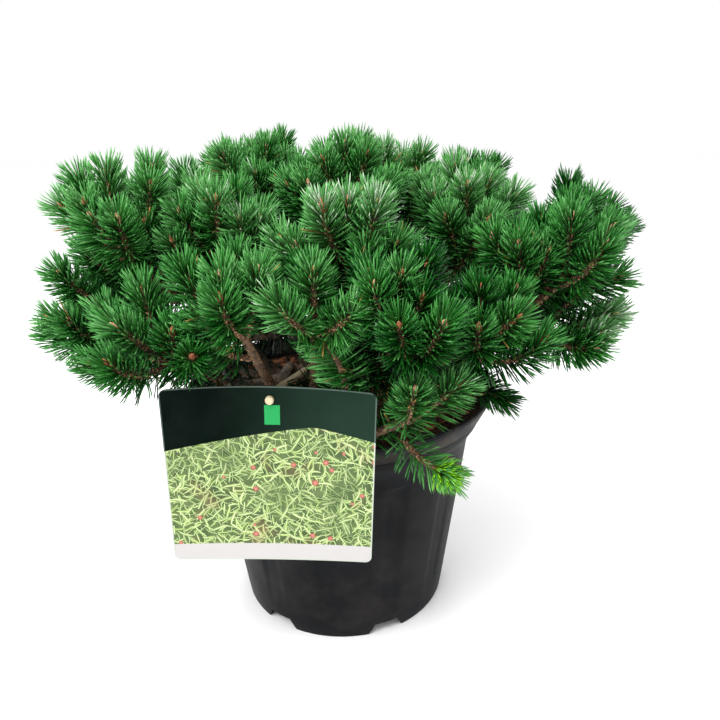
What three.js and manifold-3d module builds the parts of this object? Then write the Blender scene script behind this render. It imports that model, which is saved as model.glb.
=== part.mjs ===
// Dwarf mountain pine in its nursery pot: a low, wide, many-stemmed conifer with a picture label.
// Millimetres, +Z up. The origin is the middle of the pot's flat underside, and -Y is the label side.

import * as THREE from "three";
import { mergeVertices } from "three/addons/utils/BufferGeometryUtils.js";
import Module from "manifold-3d";

const wasm = await Module();
wasm.setup();

const GAP = 0.3; // clearance between neighbouring pieces
const UP = new THREE.Vector3(0, 0, 1);

// --- driving dimensions ---------------------------------------------------------------------

const POT = {
  height: 250,
  baseRadius: 114.2,
  shoulderRadius: 139.5, // top of the straight wall
  shoulderZ: 195,
  neckRadius: 148.5, // under the rim band
  neckZ: 219,
  bandRadius: 150.5, // lower edge of the rim band
  lipRadius: 164,
  lipHeight: 4,
  wall: 2.6,
  segments: 40,
};

const NOTCH = {
  count: 6,
  frontFoot: -96.6, // azimuth of the middle of the foot nearest the label side, degrees
  bottomHalfWidth: 20.3,
  topHalfWidth: 13,
  height: 13.5,
  below: 1, // how far the cut starts under the pot
  innerRadius: 97,
};

const SOIL_TOP = 232;

const TRUNK = {
  lean: new THREE.Vector3(-0.18, 0.1, 1), // direction in which it leaves the soil
  footRadius: 18,
  tipRadius: 4.8,
  flare: 9, // extra radius at the root flare
  flareHeight: 9,
  pull: 0.4,
  sides: 12,
  segments: 12,
};

const BOUGH = { rootRadius: 7.2, tipRadius: 4.4, sides: 5, segments: 5, pull: 0.4 };
const SIDE_BRANCH = { rootRadius: 5.2, tipRadius: 4.0, sides: 5, segments: 5, pull: 0.36 };
const UPPER_BRANCH = { rootRadius: 5.8, tipRadius: 4.2, sides: 5, segments: 5, pull: 0.36 };

const FORK = {
  boughZ: [248, 266], // heights at which the boughs leave the trunk, in turn
  boughRise: 22, // degrees at which they leave it
  upperZ: [300, 312, 324],
  upperRise: 50,
  side: { along: 0.44, rise: 66 }, // how far along its bough a side branch grows
  rim: { along: 0.2, rise: 10 }, // the same for the branch to the spray that leans over the rim
};

const LABEL = {
  width: 179,
  height: 169,
  thickness: 1,
  corner: 6,
  centre: new THREE.Vector3(-57, -172, 229),
  bow: 780, // radius of the curl, its ends towards -Y
  roll: 2.1, // degrees, right side low
  holeBelowTop: 9,
  holeRadius: 4.2,
  curlSteps: 6,
  trimDepth: 40, // how far the outline is pressed through the sheet, each way
};

const PEG = { radius: 3.7, proud: 3.5, straight: 12, seatZ: 284, sides: 12 };

// The crown: how far its bud tips reach from the trunk's axis, and how high each tier's stand, by side.
// Sprays on the front side point up by a tier's frontRise, in degrees, more than its others.
const REACH = { right: 284, back: 254, left: 294, front: 226, roundness: 2.3 };

const TIERS = [
  {
    name: "skirt",
    count: 10,
    start: -93,
    spread: { right: 0.97, back: 1, left: 0.98, front: 1 },
    z: { right: 354, back: 350, left: 358, front: 386 },
    rise: 12,
    frontRise: 20,
    lift: 0.26,
  },
  {
    name: "shoulder",
    count: 9,
    start: -76,
    spread: { right: 0.99, back: 0.92, left: 0.89, front: 0.92 },
    z: { right: 439, back: 474, left: 464, front: 428 },
    rise: 46,
    frontRise: 4,
    lift: 0.4,
  },
  {
    name: "upper",
    count: 5,
    start: -80,
    spread: { right: 0.53, back: 0.53, left: 0.53, front: 0.53 },
    z: { right: 476, back: 480, left: 468, front: 462 },
    rise: 68,
    frontRise: 0,
    lift: 0.4,
  },
  {
    name: "top",
    count: 1,
    start: 60,
    spread: { right: 0.06, back: 0.06, left: 0.06, front: 0.06 },
    z: { right: 490, back: 490, left: 490, front: 490 },
    rise: 86,
    frontRise: 0,
    lift: 0.4,
  },
];
const FRONT_TURN = 0.5; // how strongly the shoots on the front side turn up, over those at the back

// How far each spray may stray from its place in its tier.
const STRAY = {
  place: [-0.12, 0.12], // share of the spacing round the tier
  reach: [0.96, 1.03],
  z: [-12, 12],
  rise: [-8, 8],
};

// Three sprays stand where no tier puts them: the first of the skirt stands upright above the label, one more
// leans over the rim beside it and one hangs below that. Headings and rises are in degrees, and ahead sets
// the middle of the spray's own space.
const FRONT = { tip: new THREE.Vector3(-12, -186, 420), heading: -82, rise: 62, lift: 0.3, turn: 0.5 };
const RIM = { tip: new THREE.Vector3(106, -200, 330), heading: -26, rise: 30, lift: 0.3, turn: 0.3 };
const HANGING = {
  tip: new THREE.Vector3(95, -178, 246),
  heading: -38,
  rise: -20,
  lift: 0,
  turn: 0,
  ahead: 44,
};

const SPRAY = {
  leader: 62, // end shoot of a spray, whorl to bud
  stem: 70, // older twig behind the whorl
  whorl: { count: 4, angle: [40, 54], length: [58, 72], back: [0, 10], bands: 3 },
  lower: { count: 3, angle: [58, 72], length: [80, 98], back: [26, 46], bands: 3 },
  stray: [-0.12, 0.12], // share of the spacing round a whorl by which a shoot leaves its even place
  lowerTurn: 45, // degrees by which the lower whorl is turned from the upper one
  bend: 0.4, // how strongly the outer half of a side shoot turns up
  ahead: 8, // from a spray's whorl forward to the middle of its own space
};

const TWIG = {
  stemRadius: 4.4,
  rootRadius: 3.6,
  tipRadius: 2.6,
  budLength: 7,
  sides: 3,
  leaderBands: 5,
  bareBands: 1, // bands of a twig next to its root that carry no needles
  apart: 1.5, // needles stay this much nearer to their own twig than to any other
  checks: 8, // points along a side shoot at which its room is tested
  shares: [1, 0.85, 0.7], // a side shoot with room for none of these shares of its length is left out
};
const NEEDLE = {
  length: [30.5, 35.5],
  tilt: 54, // degrees from the twig
  endTilt: 36,
  tiltStray: [-5, 5],
  shorten: 0.8, // a needle that does not fit is tried again at this share of its length
  shortest: 12,
  checks: [0.15, 0.32, 0.49, 0.66, 0.83, 1], // shares of its length at which its room is tested
};
const SEED = { crown: 101, needles: 1001 };

const CELL_MARGIN = 1.6; // how far every spray stays inside its own space
const LIMB_MARGIN = 1.4; // how far needles stay from wood
const POT_MARGIN = 4.5; // how far needles stay from the pot
const LABEL_MARGIN = 5; // how far needles stay from the label's sheet
const SAMPLE_STEP = 4; // spacing of the points at which wood is felt for

// --- colours --------------------------------------------------------------------------------

const FINISH = {
  pot: { color: 0x26282a, roughness: 0.6 },
  soil: { color: 0x3a2a1e, roughness: 1 },
  bark: { color: 0x6b5442, roughness: 0.9 },
  label: { color: 0xbfcf9a, roughness: 0.35 },
  peg: { color: 0xd9c7a3, roughness: 0.7 },
  needles: { color: 0x2e7d43, roughness: 0.6 },
};

// --- helpers --------------------------------------------------------------------------------

/** A repeatable stream of numbers from a 32-bit linear congruential generator. */
class Seeded {
  constructor(seed) {
    this.state = Math.imul(seed, 2654435761) >>> 0;
    for (let warm = 0; warm < 3; warm += 1) this.next();
  }

  next() {
    this.state = (Math.imul(this.state, 1664525) + 1013904223) >>> 0;
    return this.state / 4294967296;
  }

  span([low, high]) {
    return low + (high - low) * this.next();
  }
}

const radians = THREE.MathUtils.degToRad;

function closed(geometry) {
  geometry.deleteAttribute("normal");
  geometry.deleteAttribute("uv");
  return mergeVertices(geometry, 1e-3);
}

/** A solid from the numbers of its vertices and the corners of its triangles. */
function solidOf(positions, corners) {
  return new wasm.Manifold(
    new wasm.Mesh({
      numProp: 3,
      vertProperties: new Float32Array(positions),
      triVerts: new Uint32Array(corners),
    }),
  );
}

function solid(geometry) {
  const merged = closed(geometry);
  return solidOf(merged.attributes.position.array, merged.index.array);
}

function geometryOf(body) {
  const mesh = body.getMesh();
  const geometry = new THREE.BufferGeometry();
  geometry.setAttribute("position", new THREE.BufferAttribute(new Float32Array(mesh.vertProperties), 3));
  geometry.setIndex(new THREE.BufferAttribute(new Uint32Array(mesh.triVerts), 1));
  return geometry;
}

function largest(body) {
  const pieces = body.decompose();
  return pieces.reduce((best, piece) => (piece.volume() > best.volume() ? piece : best));
}

/** A lathe's profile is given as [radius, height] pairs that start and end on the axis. */
function lathe(profile, segments) {
  const points = profile.map(([radius, height]) => new THREE.Vector2(radius, height));
  return new THREE.LatheGeometry(points, segments).rotateX(Math.PI / 2);
}

/** Vectors across a path at each of its points, turned as little as possible from point to point. */
function framesAlong(points, aims = []) {
  const frames = [];
  let across = null;
  points.forEach((point, index) => {
    const before = points[Math.max(index - 1, 0)];
    const after = points[Math.min(index + 1, points.length - 1)];
    const along = aims[index] ?? after.clone().sub(before).normalize();
    if (across === null) {
      const helper = Math.abs(along.z) < 0.9 ? UP : new THREE.Vector3(1, 0, 0);
      across = helper.clone().cross(along).normalize();
    } else {
      across.addScaledVector(along, -across.dot(along)).normalize();
    }
    across = across.clone();
    frames.push({ point, along, across, beside: along.clone().cross(across) });
  });
  return frames;
}

/** A tapering round limb: a cylinder whose axis is laid along the path and whose radius follows it. */
function limbGeometry({ points, aims }, radiusAt, sides, grow = 0) {
  const segments = points.length - 1;
  const geometry = new THREE.CylinderGeometry(1, 1, segments, sides, segments);
  const frames = framesAlong(points, aims);
  const position = geometry.attributes.position;
  for (let index = 0; index < position.count; index += 1) {
    const ring = Math.round(position.getY(index) + segments / 2);
    const { point, across, beside } = frames[ring];
    const radius = radiusAt(ring / segments) + grow;
    const spot = point
      .clone()
      .addScaledVector(across, position.getZ(index) * radius)
      .addScaledVector(beside, position.getX(index) * radius);
    position.setXYZ(index, spot.x, spot.y, spot.z);
  }
  return geometry;
}

const taper = (root, tip) => (t) => root + (tip - root) * t;

// --- pot and soil ---------------------------------------------------------------------------

/** Radius of the pot's outer wall at a height. */
function potRadius(z) {
  const line = [
    [0, POT.baseRadius],
    [POT.shoulderZ, POT.shoulderRadius],
    [POT.neckZ, POT.neckRadius],
    [POT.height - POT.lipHeight, POT.lipRadius],
    [POT.height, POT.lipRadius],
  ];
  for (let index = 1; index < line.length; index += 1) {
    const [z0, r0] = line[index - 1];
    const [z1, r1] = line[index];
    if (z <= z1) return r0 + ((r1 - r0) * (z - z0)) / (z1 - z0);
  }
  return POT.lipRadius;
}

/** The space inside the wall, shrunk by an inset and closed at a height. */
function potInside(inset, top) {
  const off = POT.wall + inset;
  const wall = [0, POT.shoulderZ, POT.neckZ].map((z) => [potRadius(z) - off, Math.max(z, off)]);
  const rim = [potRadius(POT.height - POT.lipHeight) - off, POT.height - POT.lipHeight];
  const profile = [[0, off], ...wall.filter(([, z]) => z < top)];
  if (top > POT.height) {
    profile.push(rim, [POT.lipRadius - off, POT.height + GAP], [0, POT.height + GAP]);
  } else {
    profile.push([potRadius(top) - off, top], [0, top]);
  }
  return solid(lathe(profile, POT.segments));
}

/** The recesses between the pot's feet, grown by an offset on every side. */
function footNotches(grow) {
  const outline = new THREE.Shape([
    new THREE.Vector2(-NOTCH.bottomHalfWidth - grow, -NOTCH.below - grow),
    new THREE.Vector2(NOTCH.bottomHalfWidth + grow, -NOTCH.below - grow),
    new THREE.Vector2(NOTCH.topHalfWidth + grow, NOTCH.height + grow),
    new THREE.Vector2(-NOTCH.topHalfWidth - grow, NOTCH.height + grow),
  ]);
  const depth = POT.lipRadius - NOTCH.innerRadius + grow;
  const notches = [];
  for (let index = 0; index < NOTCH.count; index += 1) {
    const azimuth = radians(NOTCH.frontFoot + (360 / NOTCH.count) * (index + 0.5));
    const geometry = new THREE.ExtrudeGeometry(outline, { depth, bevelEnabled: false });
    geometry.rotateX(Math.PI / 2).rotateZ(Math.PI / 2); // outline across, its height up, extruded along +X
    geometry.translate(NOTCH.innerRadius - grow, 0, 0).rotateZ(azimuth);
    notches.push(solid(geometry));
  }
  return wasm.Manifold.union(notches);
}

function potSolid() {
  const outer = solid(
    lathe(
      [
        [0, 0],
        [POT.baseRadius, 0],
        [POT.shoulderRadius, POT.shoulderZ],
        [POT.neckRadius, POT.neckZ],
        [POT.bandRadius, POT.neckZ + 1],
        [POT.lipRadius, POT.height - POT.lipHeight],
        [POT.lipRadius, POT.height],
        [0, POT.height],
      ],
      POT.segments,
    ),
  );
  const hollow = potInside(0, POT.height + 1).subtract(footNotches(POT.wall));
  return outer.subtract(footNotches(0)).subtract(hollow);
}

function soilSolid() {
  return potInside(GAP, SOIL_TOP).subtract(footNotches(POT.wall + GAP));
}

// --- crown plan -----------------------------------------------------------------------------

/** Blends the four sides' values at an azimuth. */
function bySide(azimuth, side) {
  const [c, s] = [Math.cos(azimuth), Math.sin(azimuth)];
  return c * c * (c > 0 ? side.right : side.left) + s * s * (s > 0 ? side.back : side.front);
}

function crownReach(azimuth) {
  const [c, s] = [Math.cos(azimuth), Math.sin(azimuth)];
  const n = REACH.roundness;
  const x = Math.abs(c / (c > 0 ? REACH.right : REACH.left)) ** n;
  const y = Math.abs(s / (s > 0 ? REACH.back : REACH.front)) ** n;
  return (x + y) ** (-1 / n);
}

/** A direction from an azimuth and a rise, both in radians. */
function heading(azimuth, rise) {
  return new THREE.Vector3(
    Math.cos(azimuth) * Math.cos(rise),
    Math.sin(azimuth) * Math.cos(rise),
    Math.sin(rise),
  );
}

/** Side shoots of one whorl: each is three points, from the twig it grows on to its bud. */
function whorlShoots(spray, random, turn, whorl) {
  const { aim, whorlPoint, lift, turn: turnUp } = spray;
  const helper = Math.abs(aim.z) < 0.95 ? UP : new THREE.Vector3(1, 0, 0);
  const across = aim.clone().cross(helper).normalize();
  const beside = aim.clone().cross(across);
  const shoots = [];
  for (let index = 0; index < whorl.count; index += 1) {
    const around = turn + (2 * Math.PI * (index + random.span(SPRAY.stray))) / whorl.count;
    const angle = radians(random.span(whorl.angle));
    const length = random.span(whorl.length);
    const start = whorlPoint.clone().addScaledVector(aim, -random.span(whorl.back));
    const out = aim
      .clone()
      .multiplyScalar(Math.cos(angle))
      .addScaledVector(across, Math.sin(angle) * Math.cos(around))
      .addScaledVector(beside, Math.sin(angle) * Math.sin(around))
      .addScaledVector(UP, lift)
      .normalize();
    const end = out.clone().addScaledVector(UP, SPRAY.bend + turnUp).normalize();
    const middle = start.clone().addScaledVector(out, length / 2);
    const tip = middle.clone().addScaledVector(end, length / 2);
    shoots.push({ line: [start, middle, tip], bands: whorl.bands });
  }
  return shoots;
}

/** Places one spray: its bud tip, directions, whorl, root and shoots. */
function placeSpray(tier, index, order, random, place) {
  const { tip, heading: azimuth, rise, lift, turn, ahead = SPRAY.ahead } = place;
  const aim = heading(radians(azimuth), radians(rise));
  const leaderAim = aim.clone().addScaledVector(UP, turn).normalize();
  const whorlPoint = tip.clone().addScaledVector(leaderAim, -SPRAY.leader);
  const root = whorlPoint.clone().addScaledVector(aim, -SPRAY.stem);
  const centre = whorlPoint.clone().addScaledVector(leaderAim, ahead);
  const spray = { tier, index, order, tip, aim, leaderAim, whorlPoint, root, centre, lift, turn };
  const around = random.span([0, 2 * Math.PI]);
  spray.shoots = [
    ...whorlShoots(spray, random, around, SPRAY.whorl),
    ...whorlShoots(spray, random, around + radians(SPRAY.lowerTurn), SPRAY.lower),
  ];
  return spray;
}

/** Places every spray of the crown, tier by tier. */
function planCrown() {
  const sprays = [];
  for (const tier of TIERS) {
    for (let index = 0; index < tier.count; index += 1) {
      const order = sprays.length;
      const random = new Seeded(SEED.crown + order);
      const azimuth = tier.start + (360 / tier.count) * (index + random.span(STRAY.place));
      const angle = radians(azimuth);
      const reach = crownReach(angle) * bySide(angle, tier.spread) * random.span(STRAY.reach);
      const z = bySide(angle, tier.z) + random.span(STRAY.z);
      const front = Math.max(0, -Math.sin(angle));
      const place = {
        tip: new THREE.Vector3(reach * Math.cos(angle), reach * Math.sin(angle), z),
        heading: azimuth,
        rise: tier.rise + random.span(STRAY.rise) + tier.frontRise * front,
        lift: tier.lift,
        turn: FRONT_TURN * front,
      };
      const isFront = tier.name === "skirt" && index === 0;
      sprays.push(placeSpray(tier.name, index, order, random, isFront ? FRONT : place));
    }
  }
  for (const [name, place] of Object.entries({ hanging: HANGING, rim: RIM })) {
    const order = sprays.length;
    sprays.push(placeSpray(name, 0, order, new Seeded(SEED.crown + order), place));
  }
  return sprays;
}

// --- wood -----------------------------------------------------------------------------------

/** A limb's path from one point and direction to another. */
function limbPath(start, startAim, end, endAim, { segments, pull }) {
  const span = start.distanceTo(end);
  const curve = new THREE.CubicBezierCurve3(
    start,
    start.clone().addScaledVector(startAim, span * pull),
    end.clone().addScaledVector(endAim, -span * pull),
    end,
  );
  const points = curve.getSpacedPoints(segments);
  return { points, aims: points.map((_, index) => curve.getTangentAt(index / segments)) };
}

/** The point of a path at a height, for a path that climbs all the way. */
function pointAtHeight({ points }, z) {
  const above = Math.max(1, points.findIndex((point) => point.z >= z));
  const [low, high] = [points[above - 1], points[above]];
  return low.clone().lerp(high, (z - low.z) / (high.z - low.z));
}

/** The point of a path at a share of its length. */
function pointAlong({ points }, share) {
  const place = Math.min(share * (points.length - 1), points.length - 1.0001);
  const below = Math.floor(place);
  return points[below].clone().lerp(points[below + 1], place - below);
}

function limb(name, path, radiusAt, sides) {
  return { name, path, radiusAt, body: solid(limbGeometry(path, radiusAt, sides)) };
}

/** Cuts a limb clear of another limb that it grows from. */
function cutClear(child, parent, sides) {
  child.body = largest(child.body.subtract(solid(limbGeometry(parent.path, parent.radiusAt, sides, GAP))));
}

/** The end of the limb that carries a spray, clear of the spray's own stem. */
function limbEnd(spray) {
  return spray.root.clone().addScaledVector(spray.aim, -GAP);
}

/** The trunk widens to a root flare and is cut flat where it stands on the soil. */
function growTrunk(topSpray) {
  const foot = new THREE.Vector3(0, 0, SOIL_TOP - TRUNK.flare);
  const end = limbEnd(topSpray);
  const path = limbPath(foot, TRUNK.lean.clone().normalize(), end, topSpray.aim, TRUNK);
  const length = foot.distanceTo(end);
  const straight = taper(TRUNK.footRadius, TRUNK.tipRadius);
  const radiusAt = (t) => straight(t) + TRUNK.flare * Math.exp((-t * length) / TRUNK.flareHeight);
  const trunk = limb("trunk", path, radiusAt, TRUNK.sides);
  const slab = new THREE.CylinderGeometry(POT.baseRadius, POT.baseRadius, SOIL_TOP).rotateX(Math.PI / 2);
  slab.translate(0, 0, SOIL_TOP / 2 + GAP);
  trunk.body = trunk.body.subtract(solid(slab));
  return trunk;
}

/** A limb that grows straight from the trunk and ends at a spray. */
function growFromTrunk(name, trunk, spray, z, riseDegrees, size) {
  const start = pointAtHeight(trunk.path, z);
  const target = limbEnd(spray);
  const azimuth = Math.atan2(target.y - start.y, target.x - start.x);
  const path = limbPath(start, heading(azimuth, radians(riseDegrees)), target, spray.aim, size);
  const grown = limb(name, path, taper(size.rootRadius, size.tipRadius), size.sides);
  cutClear(grown, trunk, TRUNK.sides);
  return grown;
}

/** A limb that grows from a bough and rises before it heads for its spray. */
function growFromBough(name, bough, spray, { along, rise }) {
  const start = pointAlong(bough.path, along);
  const target = limbEnd(spray);
  const azimuth = Math.atan2(target.y - start.y, target.x - start.x);
  const path = limbPath(start, heading(azimuth, radians(rise)), target, spray.aim, SIDE_BRANCH);
  const grown = limb(name, path, taper(SIDE_BRANCH.rootRadius, SIDE_BRANCH.tipRadius), SIDE_BRANCH.sides);
  cutClear(grown, bough, BOUGH.sides);
  return grown;
}

const twoDigits = (number) => String(number).padStart(2, "0");

function growLimbs(sprays) {
  const tier = (name) => sprays.filter((spray) => spray.tier === name);
  const trunk = growTrunk(tier("top")[0]);
  const boughs = tier("skirt").map((spray, index) =>
    growFromTrunk(
      `bough_${twoDigits(index + 1)}`,
      trunk,
      spray,
      FORK.boughZ[index % FORK.boughZ.length],
      FORK.boughRise,
      BOUGH,
    ),
  );
  const raised = [...tier("hanging"), ...tier("shoulder")];
  const sides = raised.map((spray, index) =>
    growFromBough(`side_branch_${twoDigits(index + 1)}`, boughs[index], spray, FORK.side),
  );
  sides.push(growFromBough(`side_branch_${sides.length + 1}`, boughs[1], tier("rim")[0], FORK.rim));
  const uppers = tier("upper").map((spray, index) =>
    growFromTrunk(
      `upper_branch_${index + 1}`,
      trunk,
      spray,
      FORK.upperZ[index % FORK.upperZ.length],
      FORK.upperRise,
      UPPER_BRANCH,
    ),
  );
  return [trunk, ...boughs, ...sides, ...uppers];
}

// --- label and peg --------------------------------------------------------------------------

/** The label stands upright: a curled strip of sheet, trimmed to its outline and punched. */
function labelSolid() {
  const [w, h, c] = [LABEL.width / 2, LABEL.height / 2, LABEL.corner];
  const plan = [];
  for (let step = -LABEL.curlSteps; step <= LABEL.curlSteps; step += 1) {
    const x = (LABEL.width * step) / (2 * LABEL.curlSteps);
    plan.push(new THREE.Vector2(x, curl(x)));
  }
  const front = plan.map(({ x, y }) => new THREE.Vector2(x, y - LABEL.thickness)).reverse();
  const strip = new THREE.ExtrudeGeometry(new THREE.Shape([...plan, ...front]), {
    depth: LABEL.height,
    bevelEnabled: false,
  });
  strip.translate(0, 0, -h);

  const outline = new THREE.Shape();
  outline.moveTo(-w + c, -h).lineTo(w - c, -h).absarc(w - c, -h + c, c, -Math.PI / 2, 0);
  outline.lineTo(w, h - c).absarc(w - c, h - c, c, 0, Math.PI / 2);
  outline.lineTo(-w + c, h).absarc(-w + c, h - c, c, Math.PI / 2, Math.PI);
  outline.lineTo(-w, -h + c).absarc(-w + c, -h + c, c, Math.PI, Math.PI * 1.5);
  const hole = new THREE.Path();
  hole.absarc(0, h - LABEL.holeBelowTop, LABEL.holeRadius, 0, 2 * Math.PI, true);
  outline.holes.push(hole);
  const trim = new THREE.ExtrudeGeometry(outline, {
    depth: 2 * LABEL.trimDepth,
    bevelEnabled: false,
    curveSegments: 4,
  });
  trim.translate(0, 0, -LABEL.trimDepth).rotateX(Math.PI / 2);

  const label = geometryOf(solid(strip).intersect(solid(trim)));
  label.rotateY(radians(LABEL.roll)).translate(LABEL.centre.x, LABEL.centre.y, LABEL.centre.z);
  return solid(label);
}

/** Y of the label's back at a distance from its middle, from the middle: the ends curl towards -Y. */
function curl(x) {
  return Math.sqrt(LABEL.bow ** 2 - x ** 2) - LABEL.bow;
}

/** Where the peg passes through the label. */
function labelHole() {
  const down = LABEL.height / 2 - LABEL.holeBelowTop;
  const roll = radians(LABEL.roll);
  return new THREE.Vector3(
    LABEL.centre.x + down * Math.sin(roll),
    LABEL.centre.y,
    LABEL.centre.z + down * Math.cos(roll),
  );
}

/** The peg holds the label: it passes square through its hole and ends against the trunk. */
function pegLimb(trunk) {
  const hole = labelHole();
  const seat = pointAtHeight(trunk.path, PEG.seatZ);
  const front = hole.clone().add(new THREE.Vector3(0, -LABEL.thickness - PEG.proud, 0));
  const behind = hole.clone().add(new THREE.Vector3(0, PEG.straight, 0));
  const peg = limb("label_peg", { points: [front, behind, seat] }, () => PEG.radius, PEG.sides);
  cutClear(peg, trunk, TRUNK.sides);
  return peg;
}

// --- foliage --------------------------------------------------------------------------------

/** Samples of all wood near which no needle may lie. */
function woodSamples(limbs) {
  const samples = [];
  for (const { path, radiusAt } of limbs) {
    const length = path.points[0].distanceTo(path.points[path.points.length - 1]);
    const steps = Math.ceil(length / SAMPLE_STEP);
    for (let step = 0; step <= steps; step += 1) {
      samples.push({
        point: pointAlong(path, step / steps),
        radius: radiusAt(step / steps) + LIMB_MARGIN,
      });
    }
  }
  return samples;
}

/** Tells whether a point is clear of the pot, the soil and the label. */
function clearOfPot(point, margin) {
  const offWall = POT_MARGIN + margin;
  const radius = Math.hypot(point.x, point.y);
  const inPot = point.z < POT.height + offWall && radius < potRadius(Math.max(0, point.z)) + offWall;
  const across = point.x - LABEL.centre.x;
  const besideLabel = Math.abs(across) > LABEL.width / 2 + LABEL.corner + margin;
  const overLabel = Math.abs(point.z - LABEL.centre.z) > LABEL.height / 2 + LABEL.corner + margin;
  const back = LABEL.centre.y + (besideLabel ? 0 : curl(across));
  const offSheet = LABEL_MARGIN + margin;
  const offLabel = point.y > back + offSheet || point.y < back - LABEL.thickness - offSheet;
  return !inPot && (besideLabel || overLabel || offLabel);
}

/** Builds the test that keeps one spray inside its own space and off everything it does not grow from. */
function spaceOf(spray, sprays, samples) {
  const rivals = sprays
    .filter((other) => other !== spray)
    .map((other) => {
      const away = other.centre.clone().sub(spray.centre);
      const distance = away.length();
      away.divideScalar(distance);
      const middle = spray.centre.clone().add(other.centre).divideScalar(2);
      return { away, limit: away.dot(middle) - CELL_MARGIN };
    });
  return (point, margin = 0) =>
    rivals.every(({ away, limit }) => away.dot(point) < limit - margin) &&
    clearOfPot(point, margin) &&
    samples.every((sample) => sample.point.distanceTo(point) > sample.radius + margin);
}

/** Distance from a point to a path of straight stretches. */
function distanceToPath(point, path) {
  const nearest = new THREE.Vector3();
  let best = Infinity;
  for (let index = 1; index < path.length; index += 1) {
    new THREE.Line3(path[index - 1], path[index]).closestPointToPoint(point, true, nearest);
    best = Math.min(best, nearest.distanceTo(point));
  }
  return best;
}

/**
 * A needled twig: a slim three-sided core along a path whose faces are drawn out into needles.
 * Rings of three points turn by half a face from one to the next, so each band has six faces.
 */
function needledTwig({ path, radiusAt, bare, bud, space, random }) {
  const frames = framesAlong(path);
  const turn = random.span([0, 2 * Math.PI]);
  const vertices = [];
  const faces = [];
  const rings = frames.map(({ point, across, beside }, ring) => {
    const corners = [];
    for (let side = 0; side < TWIG.sides; side += 1) {
      const angle = turn + (2 * Math.PI * (side + ring / 2)) / TWIG.sides;
      const radius = radiusAt(ring / (frames.length - 1));
      corners.push(vertices.length);
      vertices.push(
        point
          .clone()
          .addScaledVector(across, radius * Math.cos(angle))
          .addScaledVector(beside, radius * Math.sin(angle)),
      );
    }
    return corners;
  });

  const needle = (corners, band) => {
    const [a, b, c] = corners.map((corner) => vertices[corner]);
    const foot = a.clone().add(b).add(c).divideScalar(3);
    const { point, along } = frames[band];
    const out = foot.clone().sub(point);
    out.addScaledVector(along, -out.dot(along)).normalize();
    const last = band === frames.length - 2;
    const tilt = radians((last ? NEEDLE.endTilt : NEEDLE.tilt) + random.span(NEEDLE.tiltStray));
    let length = random.span(NEEDLE.length);
    const aim = along.clone().multiplyScalar(Math.cos(tilt)).addScaledVector(out, Math.sin(tilt));
    const fits = () =>
      NEEDLE.checks.every((share) => space(foot.clone().addScaledVector(aim, length * share)));
    while (length >= NEEDLE.shortest && !fits()) length *= NEEDLE.shorten;
    if (length < NEEDLE.shortest) {
      faces.push(corners);
      return;
    }
    const tip = vertices.length;
    vertices.push(foot.addScaledVector(aim, length));
    faces.push([corners[0], corners[1], tip], [corners[1], corners[2], tip], [corners[2], corners[0], tip]);
  };

  for (let band = 0; band < rings.length - 1; band += 1) {
    const [low, high] = [rings[band], rings[band + 1]];
    for (let side = 0; side < TWIG.sides; side += 1) {
      const next = (side + 1) % TWIG.sides;
      for (const corners of [
        [low[side], low[next], high[side]],
        [high[side], low[next], high[next]],
      ]) {
        if (band < bare) faces.push(corners);
        else needle(corners, band);
      }
    }
  }
  faces.push([rings[0][0], rings[0][2], rings[0][1]]);
  const end = rings[rings.length - 1];
  const { point, along } = frames[frames.length - 1];
  const apex = vertices.length;
  vertices.push(point.clone().addScaledVector(along, bud));
  for (let side = 0; side < TWIG.sides; side += 1) {
    faces.push([end[side], end[(side + 1) % TWIG.sides], apex]);
  }

  const positions = vertices.flatMap(({ x, y, z }) => [x, y, z]);
  return solidOf(positions, faces.flat());
}

/** Points spaced evenly along a shoot of three points, ending short of its bud. */
function shootPath([start, middle, end], bands) {
  const path = [];
  for (let ring = 0; ring <= bands; ring += 1) {
    const along = 2 * (ring / bands);
    path.push(along <= 1 ? start.clone().lerp(middle, along) : middle.clone().lerp(end, along - 1));
  }
  const last = path[bands];
  last.addScaledVector(last.clone().sub(path[bands - 1]).normalize(), -TWIG.budLength);
  return path;
}

/** A side shoot's path, shortened until it fits its spray's space, or null where it has no room. */
function fittedShoot({ line, bands }, space) {
  const [start, middle, end] = line;
  for (const share of TWIG.shares) {
    const shorter = [start, start.clone().lerp(middle, share), start.clone().lerp(end, share)];
    const path = shootPath(shorter, bands);
    const shares = Array.from({ length: TWIG.checks }, (_, index) => (index + 1) / TWIG.checks);
    const clear = shares.every((along) => space(pointAlong({ points: path }, along), TWIG.rootRadius));
    if (clear && space(shorter[2], TWIG.tipRadius)) return path;
  }
  return null;
}

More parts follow.
